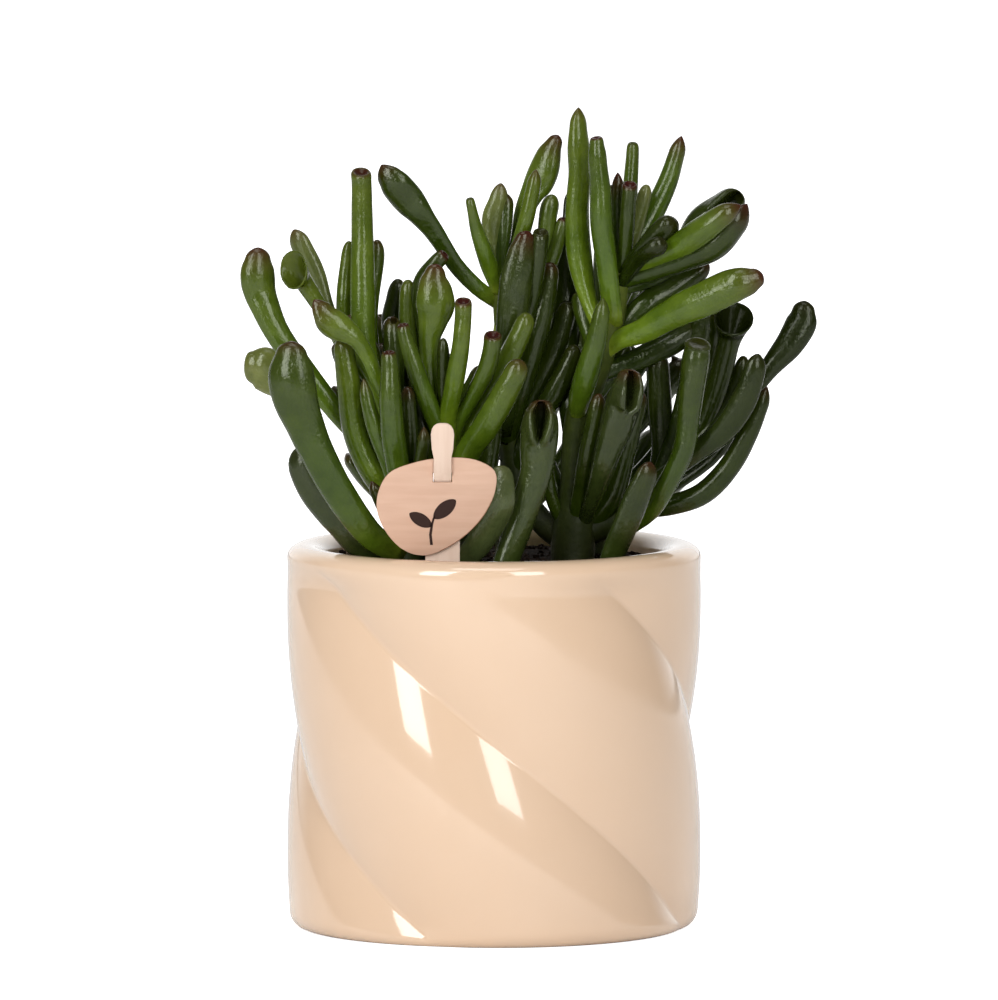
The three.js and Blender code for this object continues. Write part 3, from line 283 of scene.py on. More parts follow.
backRightStem = {
    "stem": [[27, 23, 88, 8.4], [27, 23, 104, 8.4], [29, 26, 130, 7], [30, 30, 168, 5.4]],
    "shoots": [{"leaves": 13, "from": 1.25, "sweep": [-14, 92], "rise": [32, 74], "reach": [28, 42],
                "widest": 8.4}],
}


def deselectAll():
    for thing in list(bpy.context.selected_objects):
        thing.select_set(False)


def makeActive(piece):
    deselectAll()
    piece.select_set(True)
    bpy.context.view_layer.objects.active = piece


def startEdit():
    bpy.ops.object.mode_set(mode="EDIT")
    bpy.ops.mesh.select_all(action="SELECT")


# Ends edit mode with every face turned outwards.
def endEdit():
    bpy.ops.mesh.select_all(action="SELECT")
    bpy.ops.mesh.normals_make_consistent(inside=False)
    bpy.ops.object.mode_set(mode="OBJECT")


def extrude(step):
    bpy.ops.mesh.extrude_region_move(TRANSFORM_OT_translate={"value": step})


# A new primitive, from the operator that adds it.
def startPiece(name, addPrimitive, **sizes):
    deselectAll()
    addPrimitive(**sizes)
    piece = bpy.context.object
    piece.name = name
    return piece


def startDisc(name, sides, radius):
    disc = bpy.ops.mesh.primitive_circle_add
    return startPiece(name, disc, vertices=sides, radius=radius, fill_type="NGON")


# A round form drawn up from a disc: extrude, then scale, for each (radius, height).
def drawUp(name, sides, profile, closeTip=False):
    radius, height = profile[0]
    piece = startDisc(name, sides, radius)
    startEdit()
    bpy.ops.transform.translate(value=(0, 0, height))
    for nextRadius, nextHeight in profile[1:]:
        extrude((0, 0, nextHeight - height))
        grow = nextRadius / radius
        if grow != 1:
            bpy.ops.transform.resize(value=(grow, grow, 1), center_override=(0, 0, nextHeight))
        radius, height = nextRadius, nextHeight
    if closeTip:
        bpy.ops.mesh.merge(type="CENTER")
    endEdit()
    return piece


# A flat bar drawn up through rows of (middle, width), in metres.
def drawBar(name, rows, thickness):
    bar = startPiece(name, bpy.ops.mesh.primitive_plane_add, size=1)
    middle, width = rows[0]
    startEdit()
    bpy.ops.transform.resize(value=(width, thickness, 1), center_override=(0, 0, 0))
    bpy.ops.transform.translate(value=middle)
    for nextMiddle, nextWidth in rows[1:]:
        extrude(nextMiddle - middle)
        bpy.ops.transform.resize(value=(nextWidth / width, 1, 1), center_override=nextMiddle)
        middle, width = nextMiddle, nextWidth
    endEdit()
    return bar


# A flat plate drawn backwards from the outline of its front, in metres.
def drawPlate(name, outline, thickness):
    plate = startDisc(name, len(outline), 1)
    for corner, place in zip(plate.data.vertices, outline):
        corner.co = place
    startEdit()
    extrude((0, thickness, 0))
    endEdit()
    return plate


def softenEdges(piece, width, sharpest):
    makeActive(piece)
    bevel = piece.modifiers.new("edge", "BEVEL")
    bevel.width = width
    bevel.segments = 2
    bevel.limit_method = "ANGLE"
    bevel.angle_limit = math.radians(sharpest)
    bpy.ops.object.modifier_apply(modifier=bevel.name)
    bpy.ops.object.shade_smooth_by_angle(angle=math.radians(40))


def copyOf(master, name):
    piece = master.copy()
    piece.data = master.data.copy()
    piece.name = name
    scene.collection.objects.link(piece)
    return piece


def deleteMaster(master):
    mesh = master.data
    bpy.data.objects.remove(master)
    bpy.data.meshes.remove(mesh)


def joinAll(pieces, name):
    deselectAll()
    for piece in pieces:
        piece.select_set(True)
    bpy.context.view_layer.objects.active = pieces[0]
    bpy.ops.object.join()
    whole = bpy.context.object
    whole.name = name
    whole.data.name = name
    bpy.ops.object.shade_smooth()
    return whole


def standFor(piece, node):
    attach(piece, "root")
    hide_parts(node)


def mix(low, high, share):
    return low + (high - low) * share


def smoothStep(value, low, high):
    share = min(1, max(0, (value - low) / (high - low)))
    return share * share * (3 - 2 * share)


# A material, its node tree and its shader, with what is the same all over set on the shader.
def newMaterial(name, finish):
    material = bpy.data.materials.new(name)
    material.use_nodes = True
    shader = material.node_tree.nodes["Principled BSDF"]
    setInputs(shader, finish)
    return material, material.node_tree, shader


def setInputs(node, inputs):
    for key, value in inputs.items():
        socket = node.inputs[key]
        if isinstance(value, bpy.types.NodeSocket):
            node.id_data.links.new(value, socket)
        elif socket.type == "RGBA":
            socket.default_value = (*value, 1)
        else:
            socket.default_value = value


def addNode(tree, kind, inputs, **settings):
    node = tree.nodes.new("ShaderNode" + kind)
    for key, value in settings.items():
        setattr(node, key, value)
    setInputs(node, inputs)
    return node


def rampNode(tree, factor, stops):
    node = addNode(tree, "ValToRGB", {0: factor})
    elements = node.color_ramp.elements
    while len(elements) < len(stops):
        elements.new(0.5)
    for element, (place, colour) in zip(elements, stops):
        element.position = place
        element.color = (*colour, 1)
    return node.outputs["Color"]


def mixNode(tree, factor, first, second, blend="MIX"):
    inputs = {0: factor, 6: first, 7: second}
    return addNode(tree, "Mix", inputs, data_type="RGBA", blend_type=blend).outputs[2]


def noiseNode(tree, place, scale=1, detail=3):
    inputs = {"Vector": place, "Scale": scale, "Detail": detail}
    return addNode(tree, "TexNoise", inputs).outputs["Fac"]


def stretchNode(tree, place, stretch):
    return addNode(tree, "Mapping", {"Vector": place, "Scale": stretch}).outputs["Vector"]


def bumpNode(tree, height, strength, distance, **under):
    inputs = {"Height": height, "Strength": strength, "Distance": distance, **under}
    return addNode(tree, "Bump", inputs).outputs["Normal"]


# Leaves carry leafPlace: how far along, how near a red-brown tip, the leaf's tone and its wax.
# The tone is the leaf's own green, and for shaded, dark and dim leaves painted shade as well.
# leafSkin holds the leaf straightened out, so that its texture follows it, and leafPaintedShade
# is painted shade: how deep a spot lies in a bowl, a slot or a dimple, or the shade laid over a
# whole shaded or dark leaf, where the colour is darkened and the gloss dulled.
leafFinish = {
    "along": [(0, (0.18, 0.245, 0.02)), (0.14, (0.09, 0.152, 0.009)), (0.42, (0.05, 0.092, 0.004)),
              (1, (0.05, 0.074, 0.006))],
    "tone": [(0, (0.22, 0.22, 0.25)), (0.25, (0.5, 0.5, 0.5)), (0.5, (1, 1, 1)),
             (0.75, (1.7, 1.5, 1.3)), (1, (3, 2.6, 2))],
    "mottle": [(0.3, (0.8, 0.83, 0.8)), (0.7, (1.2, 1.16, 1.2))],
    "tip": (0.05, 0.007, 0.005),
    "wax": (0.085, 0.1, 0.045),
    "roughness": [(0.35, (0.15, 0.15, 0.15)), (0.65, (0.27, 0.27, 0.27))],
    # The painted shade: the colour darkened by the leafPaintedShade depth, most in deep bowls and slots.
    "hollow": [(0, (1, 1, 1)), (0.4, (0.8, 0.8, 0.8)), (1, (0.32, 0.32, 0.28))],
    "gloss": {"Specular IOR Level": 0.36, "Coat Weight": 0.28},
    "glossInHollow": 0.02,
    "finish": {"Coat Roughness": 0.07, "Specular Tint": (0.92, 1, 0.74)},
    "mottleScale": 200,
    "grooves": (300, 300, 90),
    "grooveDepth": 0.0003,
    "pitScale": 900,
    "pitDepth": 0.00017,
}


def leafMaterial():
    leaf = leafFinish
    material, tree, shader = newMaterial("waxyLeaf", leaf["finish"])
    painted, skin, hollow = (
        addNode(tree, "Attribute", {}, attribute_name=name).outputs
        for name in ("leafPlace", "leafSkin", "leafPaintedShade")
    )
    parts = addNode(tree, "SeparateColor", {"Color": painted["Color"]}).outputs
    mottle = noiseNode(tree, skin["Vector"], leaf["mottleScale"])
    grooves = noiseNode(tree, stretchNode(tree, skin["Vector"], leaf["grooves"]))
    pits = noiseNode(tree, skin["Vector"], leaf["pitScale"], 2)
    colour = rampNode(tree, parts["Red"], leaf["along"])
    colour = mixNode(tree, painted["Alpha"], colour, leaf["wax"])
    # The tone: for shaded, dark and dim leaves it paints their shade.
    colour = mixNode(tree, 1, colour, rampNode(tree, parts["Blue"], leaf["tone"]), "MULTIPLY")
    colour = mixNode(tree, 1, colour, rampNode(tree, mottle, leaf["mottle"]), "MULTIPLY")
    colour = mixNode(tree, parts["Green"], colour, leaf["tip"])
    # Painted shade, darkening bowls, slots, dimples and shaded leaves.
    colour = mixNode(tree, 1, colour, rampNode(tree, hollow["Fac"], leaf["hollow"]), "MULTIPLY")
    coarse = bumpNode(tree, grooves, 1, leaf["grooveDepth"])
    fine = bumpNode(tree, pits, 1, leaf["pitDepth"], Normal=coarse)
    roughness = rampNode(tree, mottle, leaf["roughness"])
    setInputs(shader, {"Base Color": colour, "Roughness": roughness, "Normal": fine})
    for gloss, most in leaf["gloss"].items():
        limits = {"To Min": most, "To Max": leaf["glossInHollow"]}
        fading = addNode(tree, "MapRange", {"Value": hollow["Fac"], **limits})
        setInputs(shader, {gloss: fading.outputs[0]})
    return material


barkFinish = {
    "along": [(0, (0.014, 0.016, 0.004)), (0.4, (0.022, 0.032, 0.004)), (0.75, (0.05, 0.07, 0.006)),
              (1, (0.1, 0.13, 0.012))],
    "scarScale": 420,
    "scarDepth": 0.0006,
    "finish": {"Roughness": 0.5, "Specular IOR Level": 0.2},
}


def barkMaterial():
    material, tree, shader = newMaterial("greenBark", barkFinish["finish"])
    place = addNode(tree, "TexCoord", {}).outputs["Object"]
    painted = addNode(tree, "Attribute", {}, attribute_name="leafPlace").outputs["Color"]
    along = addNode(tree, "SeparateColor", {"Color": painted}).outputs["Red"]
    scars = noiseNode(tree, place, barkFinish["scarScale"])
    mottle = rampNode(tree, scars, leafFinish["mottle"])
    colour = mixNode(tree, 1, rampNode(tree, along, barkFinish["along"]), mottle, "MULTIPLY")
    relief = bumpNode(tree, scars, 0.5, barkFinish["scarDepth"])
    setInputs(shader, {"Base Color": colour, "Normal": relief})
    return material


# The plain finishes: two tones that drift into each other, over a grain of so many to the metre
# along each axis, and for soil the strength and depth of its relief.
crumbly = {
    "grain": (900, 900, 900),
    "relief": (0.6, 0.0008),
    "finish": {"Roughness": 0.9, "Specular IOR Level": 0.08},
}
plainFinishes = {
    "creamGlaze": {
        "tones": [(0.35, (0.755, 0.542, 0.374)), (0.65, (0.77, 0.56, 0.395))],
        "grain": (18, 18, 18),
        "finish": {"Roughness": 0.12, "Coat Weight": 0.8, "Coat Roughness": 0.03},
    },
    "darkPeat": {"tones": [(0.35, (0.006, 0.004, 0.003)), (0.7, (0.032, 0.019, 0.012))], **crumbly},
    "paleGrit": {"tones": [(0.35, (0.032, 0.019, 0.012)), (0.7, (0.2, 0.14, 0.095))], **crumbly},
    "discWood": {
        "tones": [(0.35, (0.6, 0.375, 0.264)), (0.65, (0.645, 0.42, 0.302))],
        "grain": (60, 300, 500),
        "finish": {"Roughness": 0.55},
    },
    "stakeWood": {
        "tones": [(0.35, (0.71, 0.53, 0.415)), (0.65, (0.76, 0.585, 0.47))],
        "grain": (600, 600, 40),
        "finish": {"Roughness": 0.55},
    },
    "burntEdgeAndShade": {"finish": {"Base Color": (0.3, 0.14, 0.07), "Roughness": 0.55}},
    "darkInk": {
        "finish": {"Base Color": (0.035, 0.018, 0.014), "Roughness": 0.7, "Specular IOR Level": 0.15},
    },
}


def plainMaterial(name):
    look = plainFinishes[name]
    material, tree, shader = newMaterial(name, look["finish"])
    if "tones" in look:
        place = addNode(tree, "TexCoord", {}).outputs["Object"]
        grain = noiseNode(tree, stretchNode(tree, place, look["grain"]))
        setInputs(shader, {"Base Color": rampNode(tree, grain, look["tones"])})
    if "relief" in look:
        setInputs(shader, {"Normal": bumpNode(tree, grain, *look["relief"])})
    return material


leafWax = leafMaterial()
bark = barkMaterial()
print("leaf and bark finishes ready")

# The master of each form stands on z: 0 to 1 is the traced body and 1 to 2 the last stretch.
# "flat" is its thickness against its width, and "slant" how far its end slopes down to the face.
leafForms = {
    "paddle": {"flat": 0.52, "master": "rounded"},
    "oval": {"flat": 0.56, "master": "oval"},
    "spade": {"flat": 0.5, "master": "pointed"},
    "finger": {"flat": 0.8, "master": "rounded"},
    "point": {"flat": 0.78, "master": "pointed"},
    "blunt": {"flat": 0.86, "master": "blunt", "slant": 0.25},
    "cup": {"flat": 0.9, "master": "cup", "slant": 0.5},
    "spoon": {"flat": 0.8, "master": "spoon"},
    "trumpet": {"flat": 0.95, "master": "trumpet", "slant": 0.8},
}
# The usual look, without the tone, and how each word changes it. "root" is where on a whole
# leaf's run of colours its root starts, and "dull" and "bowl" are depths of painted
# shade: over the whole leaf, and inside a trumpet.
usualLook = {"wax": 0, "stain": 0.75, "spread": 1, "root": 0, "dull": 0, "bowl": 0.45}
leafLooks = {
    # The low tones of "shaded", "dark" and "dim", the dull of "shaded" and "dark", and the later roots
    # of "shaded", "dark" and "waxy" are painted shade for leaves that stand in shade.
    "shaded": {"tone": 0.1, "root": 0.5, "dull": 0.35, "bowl": 0.88},
    "dark": {"tone": 0.19, "root": 0.35, "dull": 0.15},
    "deep": {"tone": 0.28},
    "dim": {"tone": 0.18},
    "grey": {"tone": 0.42, "wax": 0.6, "root": 0.4},
    "fresh": {"tone": 0.62},
    "pale": {"tone": 0.66, "wax": 0.5, "root": 0.3},
    # olive: the leaf's own pale green, partly brightened as painted light that shines through the thin
    # leaf.
    "olive": {"tone": 0.9, "wax": 0.45, "root": 0.25},
    "waxy": {"tone": 0.21, "wax": 0.28, "root": 0.45},
    "dusty": {"wax": 0.14, "root": 0.45},
    "bare": {"stain": 0.15},
    "red": {"stain": 1, "spread": 1.8},
}
leafPaint = {
    "tone": 0.5,
    "shootTone": 0.3,
    "toneDrift": 0.07,
    "rootTone": 0.55,  # at least, over the first rootShare of a leaf
    "rootShare": 0.3,
    "tipStain": 5.4,  # millimetres that the red-brown runs down from the tip
    "tipFade": 1.6,
    "rimStain": (1.55, 2, 0.8),  # from and to which height on the master, and how strong
    # A dimple's depth, and the inside of a trumpet, are depths of painted shade.
    "dimple": (0.72, 1.25, 0.45),  # within which reach, how red and how deep
    "bowlFoot": (1.2, 0.8),  # the inside of a trumpet, by its height and reach
    "bowlWall": (1.3, 0.9, 0.05),
}
leafMesh = {
    "sides": 20,
    "spoonSides": 56,
    "bodyRings": 28,
    "tipRings": 7,
    "stemSides": 16,
    "stemRings": 24,
    "marks": 24,  # stretches in which an axis is measured
    "waver": 0.035,
    "waverPitch": 0.16,
    "patchSpread": 40,
    "ripple": 0.05,
    "ripplePitch": (0.8, 0.8, 0.35),
    "steep": 0.92,  # an axis that points this straight at the face is framed from above
}
spoonSlot = {
    "length": 1.15,  # from the tip, in leaf widths
    "depth": 1.7,
    "halfWidth": 0.5,
    "topShare": 0.65,  # of the half width, at the very top
    "widest": 0.22,  # as a share of the length, as the next two are
    "topFade": (0.01, 0.09),
    "footFade": (0.9, 1.04),
    "taper": 0.8,
    "leastShare": 0.02,
    "edge": (0.45, 1.15),  # where the slot starts to rise and ends, in half widths
    "lips": 0.42,
    "lipAway": 0.27,
    "lipWidth": 0.25,
}


# A tip that narrows with its height: a power of 0.5 is round, and a higher one more pointed.
def narrowingTip(power, curve):
    rings = leafMesh["tipRings"]
    ups = [math.sin(math.radians(90 * ring / (rings + 0.5))) for ring in range(1, rings + 1)]
    return [((1 - up**curve) ** power, 1 + up) for up in ups]


# The last stretch of each master as (radius, height): the blunt one has a rim round a dimple,
# the cup a deeper one, and the trumpet flares.
leafEnds = {
    "rounded": narrowingTip(0.5, 2),
    "oval": narrowingTip(0.68, 1.9),
    "pointed": narrowingTip(0.85, 1.6),
    "spoon": narrowingTip(0.5, 2),
    "blunt": [(0.99, 1.25), (0.96, 1.5), (0.9, 1.7), (0.81, 1.86), (0.7, 1.96), (0.58, 2),
              (0.46, 1.98), (0.34, 1.91), (0.2, 1.84), (0.08, 1.82)],
    "cup": [(1.01, 1.3), (1.03, 1.6), (1.02, 1.78), (0.97, 1.91), (0.88, 1.99), (0.77, 2),
            (0.66, 1.94), (0.52, 1.83), (0.34, 1.72), (0.14, 1.67)],
    "trumpet": [(1.05, 1.15), (1.14, 1.3), (1.26, 1.45), (1.4, 1.6), (1.55, 1.75), (1.68, 1.88),
                (1.75, 1.97), (1.75, 2.02), (1.7, 2.05), (1.62, 2.03), (1.5, 1.94), (1.34, 1.8),
                (1.14, 1.62), (0.92, 1.42), (0.7, 1.2), (0.45, 1), (0.2, 0.85)],
}
stemTop = [(0.9, 0.985), (0.6, 0.997)]


def modelMasters():
    rings, stemRings = leafMesh["bodyRings"], leafMesh["stemRings"]
    body = [(1, ring / rings) for ring in range(rings + 1)]
    made = {}
    for name, end in leafEnds.items():
        sides = leafMesh["spoonSides"] if name == "spoon" else leafMesh["sides"]
        made[name] = drawUp(name + "Leaf", sides, body + end, closeTip=True)
    stem = [(1, ring / stemRings) for ring in range(stemRings)] + stemTop
    made["stem"] = drawUp("stemLength", leafMesh["stemSides"], stem, closeTip=True)
    return made


masters = modelMasters()
print("leaf masters modelled")


def alongSight(written):
    across, depth, up = written[:3]
    nearer = (depth - viewPoint.y) / -viewPoint.y
    return viewPoint + (Vector((across, 0, up)) - viewPoint) * nearer


def placed(written):
    return [(alongSight(point), point[3]) for point in written]


# A centripetal curve through four places: where it is between the middle two, and its slope.
def between(p0, p1, p2, p3, share):
    before, within, after = ((b - a).length ** 0.5 for a, b in ((p0, p1), (p1, p2), (p2, p3)))
    t1 = ((p1 - p0) / before - (p2 - p0) / (before + within) + (p2 - p1) / within) * within
    t2 = ((p2 - p1) / within - (p3 - p1) / (within + after) + (p3 - p2) / after) * within
    bend = 3 * p2 - 3 * p1 - 2 * t1 - t2
    twist = 2 * p1 - 2 * p2 + t1 + t2
    square = share * share
    place = p1 + t1 * share + bend * square + twist * (square * share)
    return place, t1 + 2 * bend * share + 3 * twist * square


# The curve through a leaf's or stem's places, with the width at any step along it.
def tracedAxis(places):
    points = [place for place, width in places]
    widths = [width for place, width in places]
    last = len(points) - 1

    def at(step):
        here = max(0, min(int(step), last - 1))
        share = min(step - here, 1)
        p1, p2 = points[here], points[here + 1]
        p0 = points[here - 1] if here > 0 else 2 * p1 - p2
        p3 = points[here + 2] if here + 2 <= last else 2 * p2 - p1
        centre, slope = between(p0, p1, p2, p3, share)
        tangent = slope.normalized()
        if step > last:
            centre = centre + tangent * (step - last) * (p2 - p1).length
        w1, w2 = widths[here], widths[here + 1]
        w0 = widths[here - 1] if here > 0 else w1
        w3 = widths[here + 2] if here + 2 <= last else w2
        square, cube = share * share, share * share * share
        width = 0.5 * (2 * w1 + (w2 - w0) * share + (2 * w0 - 5 * w1 + 4 * w2 - w3) * square
                       + (3 * w1 - w0 - 3 * w2 + w3) * cube)
        return centre, tangent, width

    return at


# The two ways across an axis: out of the leaf's face and along its width.
def crossFrame(tangent, face):
    toFace = Vector((math.sin(math.radians(face)), -math.cos(math.radians(face)), 0))
    if abs(toFace.dot(tangent)) > leafMesh["steep"]:
        toFace = Vector((0, 0, 1))
    out = (toFace - tangent * toFace.dot(tangent)).normalized()
    return out, out.cross(tangent).normalized()


def paintLeaf(piece, places, skins, shadeDepths):
    layer = piece.data.color_attributes.new("leafPlace", "FLOAT_COLOR", "POINT")
    for spot, value in zip(layer.data, places):
        spot.color = value
    layer = piece.data.attributes.new("leafSkin", "FLOAT_VECTOR", "POINT")
    for spot, value in zip(layer.data, skins):
        spot.vector = value
    layer = piece.data.attributes.new("leafPaintedShade", "FLOAT", "POINT")
    layer.data.foreach_set("value", shadeDepths)


# The spoon's face is drawn in between two thick lips, in a slot that ends in a point below. How deep a
# point lies in the slot comes back too, for the slot's painted shade.
def drawnIn(across, out, fromTip):
    slot = spoonSlot
    down = fromTip / slot["length"]
    if down < slot["widest"]:
        share = mix(slot["topShare"], 1, smoothStep(down, 0, slot["widest"]))
    else:
        share = max((1 - down) / (1 - slot["widest"]), slot["leastShare"]) ** slot["taper"]
    halfWidth = slot["halfWidth"] * share
    opening = (1 - smoothStep(down, *slot["footFade"])) * smoothStep(down, *slot["topFade"])
    edges = [halfWidth * edge for edge in slot["edge"]]
    inside = opening * (1 - smoothStep(abs(across), *edges))
    fromLip = (abs(across) - halfWidth - slot["lipAway"]) / slot["lipWidth"]
    lips = slot["lips"] * opening * math.exp(-(fromLip**2))
    return out - slot["depth"] * inside + lips, inside


# How red-brown a corner of a leaf is, and how deep it lies in the hollow of its form, which sets its
# painted shade.
def stainAt(form, look, up, reach, toTip):
    if form == "trumpet":
        low, narrow = leafPaint["bowlFoot"]
        high, flare, more = leafPaint["bowlWall"]
        inFoot = up < low and reach < narrow
        inWall = up > high and reach < flare * (up + more) ** flare
        return 0, look["bowl"] if inFoot or inWall else 0
    if "slant" in leafForms[form]:
        within, red, deep = leafPaint["dimple"]
        if up > 1 and reach < within:
            return red, deep
        low, high, most = leafPaint["rimStain"]
        return smoothStep(up, low, high) * most, 0
    run = toTip / leafPaint["tipStain"] / look["spread"]
    return (1 - min(1, run)) ** leafPaint["tipFade"], 0


# A copy of the form's master carried along the leaf's own axis.
def fitLeaf(words, face, places, usualTone):
    form, *looks = words.split()
    shape = leafForms[form]
    look = {"tone": usualTone, **usualLook}
    for word in looks:
        look.update(leafLooks[word])
    tone = look["tone"] + toneDraw.uniform(-leafPaint["toneDrift"], leafPaint["toneDrift"])
    rootTone = max(tone, leafPaint["rootTone"])
    patch = Vector((toneDraw.random(), toneDraw.random(), toneDraw.random()))
    leaf = copyOf(masters[shape["master"]], "leaf")
    axis = tracedAxis(places)
    last = len(places) - 1
    marks = leafMesh["marks"]
    middles = [axis(last * mark / marks)[0] for mark in range(marks + 1)]
    runs = [0]
    for one, two in zip(middles, middles[1:]):
        runs.append(runs[-1] + (two - one).length)
    whole = runs[-1]
    headWidth = max(width for place, width in places)
    rings = {}
    painted, skins, shadeDepths = [], [], []
    for corner in leaf.data.vertices:
        across, out, up = corner.co
        key = round(up, 4)
        if key not in rings:
            step = up * (last - 1) if up <= 1 else last - 2 + up
            centre, tangent, width = axis(step)
            travelled = min(step / last, 1) * marks
            low = min(int(travelled), marks - 1)
            run = mix(runs[low], runs[low + 1], travelled - low)
            rings[key] = (centre, tangent, width, run, *crossFrame(tangent, face))
        centre, tangent, width, run, toFace, wide = rings[key]
        stain, inside = stainAt(form, look, up, math.hypot(across, out), whole - run)
        if form == "spoon" and out > 0:
            out, inside = drawnIn(across, out, (whole - run) / headWidth)
        drift = Vector((across, out, run * leafMesh["waverPitch"])) + patch * leafMesh["patchSpread"]
        waver = 1 + leafMesh["waver"] * noise.noise(drift)
        outOfFace = out * shape["flat"] * width / 2 * waver
        place = centre + wide * (across * width / 2 * waver) + toFace * outOfFace
        if "slant" in shape and up > 1:
            lower = 0 if form == "trumpet" else shape["flat"] * width / 2
            place -= tangent * shape["slant"] * (outOfFace + lower) * min(up - 1, 1)
        corner.co = place * mm
        along = mix(look["root"], 1, run / whole)
        shown = tone
        if not look["root"]:
            shown = mix(rootTone, tone, smoothStep(run / whole, 0, leafPaint["rootShare"]))
        painted.append((along, min(1, stain * look["stain"]), shown, look["wax"]))
        # Painted shade: the depth in a bowl, slot or dimple, and at least the dull of a shaded or dark
        # leaf.
        shadeDepths.append(max(inside, look["dull"]))
        skins.append((Vector((across, out, 0)) * width / 2 + Vector((0, 0, run))) * mm + patch)
    paintLeaf(leaf, painted, skins, shadeDepths)
    leaf.data.materials.append(leafWax)
    return leaf


def fitStem(written):
    axis = tracedAxis(placed(written))
    stem = copyOf(masters["stem"], "stemLength")
    painted, skins = [], []
    a, b, c = leafMesh["ripplePitch"]
    for corner in stem.data.vertices:
        across, out, up = corner.co
        centre, tangent, width = axis(up * (len(written) - 1))
        toFace, wide = crossFrame(tangent, 0)
        drift = Vector((across * a, out * b, centre.z * c + written[0][0]))
        ripple = 1 + leafMesh["ripple"] * noise.noise(drift)
        corner.co = (centre + (wide * across + toFace * out) * width / 2 * ripple) * mm
        painted.append((up, 0, leafPaint["tone"], 0))
        skins.append(corner.co)
    paintLeaf(stem, painted, skins, [0] * len(skins))
    stem.data.materials.append(bark)
    return stem


# The same repeatable numbers as in the part's source, so that the hidden leaves agree.
def repeatableDraws(state):
    while True:
        state = (state * 1664525 + 1013904223) % 4294967296
        yield state / 4294967296


draws = repeatableDraws(11)
toneDraw = random.Random(4)
shootGrowth = {
    "forms": ["blunt", "oval", "spoon"],
    "path": [(0, 0, 0.6), (0.35, 0.05, 0.68), (0.72, 0.04, 0.95), (0.9, 0, 1), (1, -0.03, 1)],
    "turn": 0.618,  # of the sweep, from one leaf to the next
    "riseDrift": 8,
    "widthDrift": (0.8, 0.25),
    "belowTop": 1.02,
}


def shootLeaves(written, shoot):
    growth = shootGrowth
    axis = tracedAxis(placed(written))
    highest = len(written) - growth["belowTop"]
    made = []
    for index in range(shoot["leaves"]):
        share = index / (shoot["leaves"] - 1)
        root = axis(mix(shoot["from"], highest, share))[0]
        heading = mix(*shoot["sweep"], (index * growth["turn"]) % 1)
        rise = math.radians(mix(*shoot["rise"], share) + growth["riseDrift"] * next(draws))
        reach = mix(*shoot["reach"], next(draws))
        least, more = growth["widthDrift"]
        widest = shoot["widest"] * (least + more * next(draws))
        outwards = Vector((math.cos(math.radians(heading)), math.sin(math.radians(heading)), 0))
        path = []
        for out, sag, width in growth["path"]:
            level = root + outwards * (out * reach * math.cos(rise))
            lift = Vector((0, 0, reach * (out * math.sin(rise) - sag)))
            path.append((level + lift, width * widest))
        form = growth["forms"][index % len(growth["forms"])]
        made.append(fitLeaf(form, heading + 90, path, leafPaint["shootTone"]))
    return made


def modelPlant(name, node, plan):
    stems = [plan["stem"], *plan.get("branches", [])]
    pieces = [fitStem(written) for written in stems]
    for words, face, tip, *rest in plan.get("leaves", []):
        places = placed(reversed(rest))
        places.append((alongSight(tip), rest[0][3]))
        pieces.append(fitLeaf(words, face, places, leafPaint["tone"]))
    for shoot in plan.get("shoots", []):
        pieces += shootLeaves(stems[shoot.get("branch", 0)], shoot)
    standFor(joinAll(pieces, name), node)
    print(name, "modelled:", len(pieces), "leaves and stems")


for name, node, plan in (
    ("leftPlant", "left_leafy_stem", leftStem),
    ("middlePlant", "middle_leafy_stem", middleStem),
    ("frontPlant", "front_leafy_stem", frontStem),
    ("mainPlant", "main_leafy_stem", mainStem),
    ("backLeftPlant", "back_left_leafy_stem", backLeftStem),
    ("backMiddlePlant", "back_middle_leafy_stem", backMiddleStem),
    ("backRightPlant", "back_right_leafy_stem", backRightStem),
):
    modelPlant(name, node, plan)
for master in masters.values():
    deleteMaster(master)

potShape = {
    "radius": 57.99,
    "height": 107.5,
    "innerRadius": 47.4,
    "floor": 8,
    "rimHeight": 3.6,
    "rimToWall": 6,
    "baseRounding": 4.5,
    "baseInset": 1.5,
    "floorInset": 3,
    "lobes": 4,
    "sides": 240,
    "wallRings": 56,
    "creaseDepth": 3.8,
    "creaseSharpness": 2.2,
    "creaseAtMiddle": 2.2,  # degrees from the front, at the height below
    "middle": 55,
    "turn": -1.295,  # degrees for each millimetre up
    "fadeIn": (-3, 6),
    "fadeOut": (97, 104.5),
}


# From the base up the outside, over the rim and down the inside, as (radius, height).
def potProfile():
    pot = potShape
    outer, inner = pot["radius"], pot["innerRadius"]
    rim = (outer - inner) / 2
    low, high = pot["baseRounding"], pot["height"] - pot["rimHeight"]
    profile = [(outer - low - pot["baseInset"], 0)]
    for angle in range(0, 91, 15):
        turn = math.radians(angle)
        profile.append((outer - low * (1 - math.sin(turn)), low * (1 - math.cos(turn))))
    for ring in range(1, pot["wallRings"]):
        profile.append((outer, mix(low, high, ring / pot["wallRings"])))
    for angle in range(0, 181, 12):
        turn = math.radians(angle)
        profile.append((outer - rim + rim * math.cos(turn), high + pot["rimHeight"] * math.sin(turn)))
    profile += [(inner, high - pot["rimToWall"]), (inner, pot["floor"] + pot["floorInset"])]
    profile.append((inner - pot["floorInset"], pot["floor"]))
    return profile


